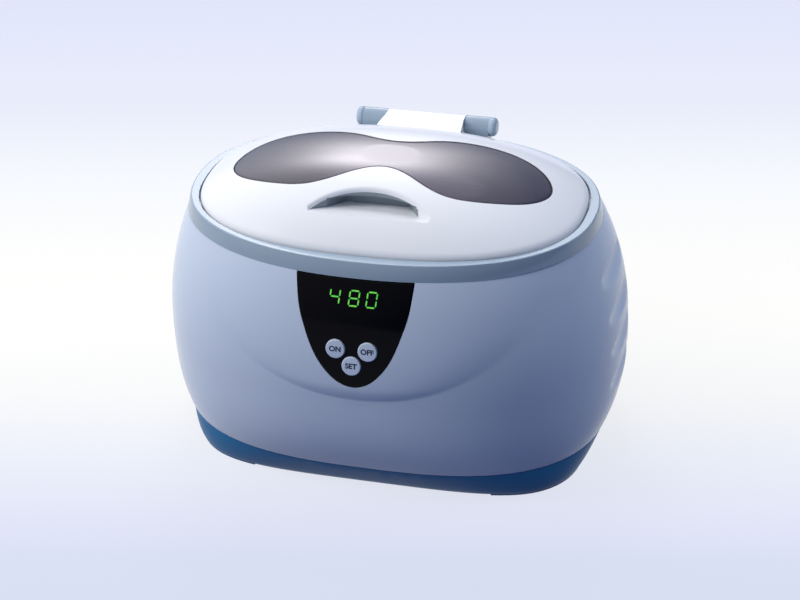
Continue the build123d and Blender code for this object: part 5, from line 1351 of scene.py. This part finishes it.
plan = np.array([(-20.0, -33.9), (-14.0, -24.0), (14.0, -24.0), (20.0, -33.9)])
pocket = prism(plan, dish_floor(plan[:, 1]), 130.6)

# Stepped opening for the window, and the bore for the pins
window_edge = ((0.0, -12.9), (10.0, -16.2), (20.0, -22.7), (31.0, -27.0), (43.0, -26.4),
               (55.0, -22.7), (66.0, -15.8), (72.0, -3.4), (66.5, 9.4), (54.0, 16.8),
               (37.0, 18.9), (20.0, 16.6), (9.0, 12.7), (0.0, 11.3))
window_line = spline(list(window_edge) + [(-x, y) for x, y in reversed(window_edge[1:-1])], 360,
                     closed=True)
ahead = np.roll(window_line, -1, axis=0) - np.roll(window_line, 1, axis=0)
inward = np.stack([-ahead[:, 1], ahead[:, 0]], axis=-1) / np.hypot(*ahead.T)[:, None]
window_middle = np.array([0.0, -1.0])


def pane_rows(outline, inset, shares, drop=0.0):
    """Rings over the dome from the middle of the window to an outline."""
    rows = []
    for share in shares:
        flat = window_middle + (outline - window_middle) * share if share else window_middle[None]
        rows.append(np.column_stack([flat, dome_height(flat[:, 0], flat[:, 1], inset) - drop]))
    return rows


step = pane_rows(window_line, 1.7, np.linspace(0, 1, 30))
step += [np.column_stack([window_line, np.full(360, 150.0)]), np.array([[*window_middle, 150.0]])]
opening = prism(window_line + 2.0 * inward, 110, 150)
bore = drum((0, 1.81, 1.81, 0), (-19.4, -19.4, 19.4, 19.4),
            Matrix.Translation((0, hinge_y, hinge_z)) @ sideways)
cut(lid, dish, pocket, opening, skin("tool", step), bore, brow, crease=30)
lid_white = moulded("glossy white lid plastic", tone(240, 240, 243), 0.22, cloudiness=0.03,
                    relief=0.000003, Coat_Weight=0.35, Coat_Roughness=0.05)
fit(lid, lid_white, "gloss_white", "lid_shell", body="lid")
# the walls of the grip's recess get a darker grey, as painted shade
lid.data.materials.append(moulded("painted grip shade", tone(136, 147, 154), 0.4, cloudiness=0.1))
centres = np.empty(len(lid.data.polygons) * 3)
headings = np.empty(len(lid.data.polygons) * 3)
lid.data.polygons.foreach_get("center", centres)
lid.data.polygons.foreach_get("normal", headings)
centres, headings = centres.reshape(-1, 3) / mm, headings.reshape(-1, 3)
sunk = dome_height(centres[:, 0], centres[:, 1], 0) - centres[:, 2]
grip_shade_end = 20.5            # the painted shade stops short of the right tip of the brow
grip_shade_faces = ((sunk > brow_round) & (centres[:, 0] > -brow_half) & (centres[:, 0] < grip_shade_end)
           & (centres[:, 1] < -23.9)
           & (centres[:, 1] > dish_front) & (centres[:, 2] > dish_floor(centres[:, 1]) + 0.01)
           & (abs(headings[:, 2]) < 0.3))
lid.data.polygons.foreach_set("material_index", grip_shade_faces.astype(int))

# ---------------------------------------------------------------- lid window
# A waisted pane of smoked acrylic lies in the stepped opening of the lid. Its edge is polished
# round, and a dark strip laid in the gap all round it is painted shade for that gap.
window_gap, pane, recess, edge_round = 0.55, 1.41, 0.19, 0.35
rows = pane_rows(window_line + window_gap * inward, recess + pane, np.linspace(0, 1, 34))
for bend in np.linspace(0, math.pi / 2, 6):
    outline = window_line + inward * (window_gap + edge_round * (1 - math.cos(bend)))
    rows += pane_rows(outline, recess, (1.0,), edge_round * (1 - math.sin(bend)))
rows += pane_rows(outline, recess, np.linspace(1, 0, 40)[1:])
window = skin("lid_window", rows)
smoke = moulded("smoked acrylic", tone(92, 80, 104), 0.06, cloudiness=0.03, polish_marks=0.01,
                relief=0.0, Transmission_Weight=0.7, IOR=1.6, Coat_Weight=0.5,
                Coat_Roughness=0.04, Coat_IOR=1.6)
fit(window, smoke, "smoked_window", "lid_window", body="lid")
# a dark strip fills the gap round the pane, as painted shade
rows = []
for inward_by, depth in ((0.03, 1.4), (0.03, 0.22), (0.2, 0.12), (0.42, 0.3), (0.52, 1.4)):
    rows += pane_rows(window_line + inward_by * inward, depth, (1.0,))
gap_shade = skin("window_bead", rows, loop=True)
fit(gap_shade, moulded("painted gap shade", tone(36, 28, 36), 0.35, cloudiness=0.05), "smoked_window",
    body="lid")

# ---------------------------------------------------------------- control panel
# A shield-shaped plate of glossy black acrylic is clipped into the front pocket. Its tinted
# window hides the display, and three round holes let the keys through.
edge = 0.12
plate = shield(0.0, 110.3)
layers = ([(s, 1.6) for s in np.linspace(0, 1, 24)] + [(1.0, 0.3), (1.0, edge)]
          + [(1.0 - edge / 26, 0.03), (1.0 - 2 * edge / 26, 0.0)]
          + [(s * (1.0 - 2 * edge / 26), 0.0) for s in np.linspace(1, 0, 40)[1:]])
panel = skin("control_panel", shield_layers(plate, layers))
cut(panel, *[drum((0, 4.45, 4.45, 0), (-6, -6, 6, 6),
                  control_face @ Matrix.Translation((*place, 0))) for place in key_places.values()])
panel_black = moulded("glossy black panel acrylic", tone(7, 5, 8), 0.10, cloudiness=0.0,
                      polish_marks=0.03, relief=0.000001, Specular_IOR_Level=0.08)
fit(panel, panel_black, "panel_black", "control_panel", body="machine")

# ---------------------------------------------------------------- keys
# Three satin grey-blue keys stand out of the panel; each is kept in by an ear behind the
# housing's wall and bears its word in printed dark blue letters.
key_plastic = moulded("satin key plastic", tone(204, 216, 232), 0.38, Coat_Weight=0.1)
key_ink = moulded("dark blue key print", tone(12, 24, 60), 0.5, cloudiness=0.1)
for name, place in key_places.items():
    fit(copied(f"key_{name}", crease=40), key_plastic, "key_light", f"key_{name}",
        body=f"key_{name}_body")
    words = bpy.data.curves.new(f"word_{name}", "FONT")
    words.body = name.upper()
    words.align_x = "CENTER"
    words.align_y = "CENTER"
    words.size = 3.3
    words.extrude = 0.02
    words.offset = 0.13
    holder = bpy.data.objects.new(f"word_{name}", words)
    bpy.context.scene.collection.objects.link(holder)
    print_mesh = bpy.data.meshes.new_from_object(
        holder.evaluated_get(bpy.context.evaluated_depsgraph_get()))
    bpy.data.objects.remove(holder)
    print_mesh.transform(Matrix.Scale(mm, 4) @ control_face
                         @ Matrix.Translation((*place, 0.9 + 0.012)))
    word = bpy.data.objects.new(f"word_{name}", print_mesh)
    bpy.context.scene.collection.objects.link(word)
    fit(word, key_ink, "key_light", body=f"key_{name}_body")

# ---------------------------------------------------------------- lit figures
# The display's green bars shine through the tinted plate and are seen on its face, three
# slanted figures of seven bars each.
figures = ((0, 1, 1, 0, 0, 1, 1), (1, 1, 1, 1, 1, 1, 1), (1, 1, 1, 1, 1, 1, 0))
figure_x, figure_low, figure_high = (-8.05, 0.4, 8.05), 99.9, 106.0
figure_half, bar_half, slant = 2.05, 0.30, 0.12
spots, faces = [], []
for middle_x, lit in zip(figure_x, figures):
    middle_z, half_z = (figure_low + figure_high) / 2, (figure_high - figure_low) / 2
    ends = (((-1, 1), (1, 1)), ((1, 1), (1, 0)), ((1, 0), (1, -1)), ((-1, -1), (1, -1)),
            ((-1, 0), (-1, -1)), ((-1, 1), (-1, 0)), ((-1, 0), (1, 0)))
    for shown, (start, end) in zip(lit, ends):
        if not shown:
            continue
        start = np.array([start[0] * figure_half, start[1] * half_z])
        end = np.array([end[0] * figure_half, end[1] * half_z])
        line = (end - start) / np.hypot(*(end - start))
        side = np.array([-line[1], line[0]])
        start, end = start + line * 0.28, end - line * 0.28
        shape = [start, start + (line - side) * bar_half, end - (line + side) * bar_half, end,
                 end + (side - line) * bar_half, start + (line + side) * bar_half]
        first = len(spots)
        for lift in (0.0, 0.05):
            for x, z in shape:
                x += middle_x + slant * z
                spots.append((x * mm, (float(front_y(x, middle_z + z)) - lift) * mm,
                              (middle_z + z) * mm))
        faces += [tuple(first + i for i in range(5, -1, -1)), tuple(first + 6 + i for i in range(6))]
        faces += [(first + i, first + (i + 1) % 6, first + 6 + (i + 1) % 6, first + 6 + i)
                  for i in range(6)]
glow_mesh = bpy.data.meshes.new("lit_figures")
glow_mesh.from_pydata(spots, [], faces)
lit_figures = bpy.data.objects.new("lit_figures", glow_mesh)
bpy.context.scene.collection.objects.link(lit_figures)
shape = bmesh.new()
shape.from_mesh(glow_mesh)
bmesh.ops.recalc_face_normals(shape, faces=shape.faces)
shape.to_mesh(glow_mesh)
shape.free()
lit_green = moulded("lit green bars", tone(40, 120, 50), 0.3, cloudiness=0.0)
tree = lit_green.node_tree
spark = put(tree, "ShaderNodeTexNoise", {"Vector": put(tree, "ShaderNodeTexCoord").outputs["Object"],
                                         "Scale": 900.0})
shine = ramp(tree, spark.outputs["Fac"], ((0.35, tone(30, 190, 70)), (0.65, tone(140, 226, 70))))
tree.links.new(shine.outputs["Color"], tree.nodes["Principled BSDF"].inputs["Emission Color"])
tree.nodes["Principled BSDF"].inputs["Emission Strength"].default_value = 0.8
fit(lit_figures, lit_green, "display_green", body="machine")

# ---------------------------------------------------------------- switches and display
# Each key rests on the plunger of a small push switch on the control board. The display is a
# black module with green bars, and it stands above the keys on the same board.
switch_plastic = moulded("black switch plastic", tone(38, 38, 40), 0.5, grain=1800.0,
                         relief=0.00002)
plunger_plastic = moulded("grey plunger plastic", tone(120, 122, 128), 0.45)
for name in key_places:
    coat(f"switch_{name}", switch_plastic)
    coat(f"plunger_{name}", plunger_plastic)
coat("display_module", moulded("black display body", tone(26, 28, 28), 0.45))
coat("display_segments", moulded("green display bars", tone(90, 200, 100), 0.3, cloudiness=0.1))
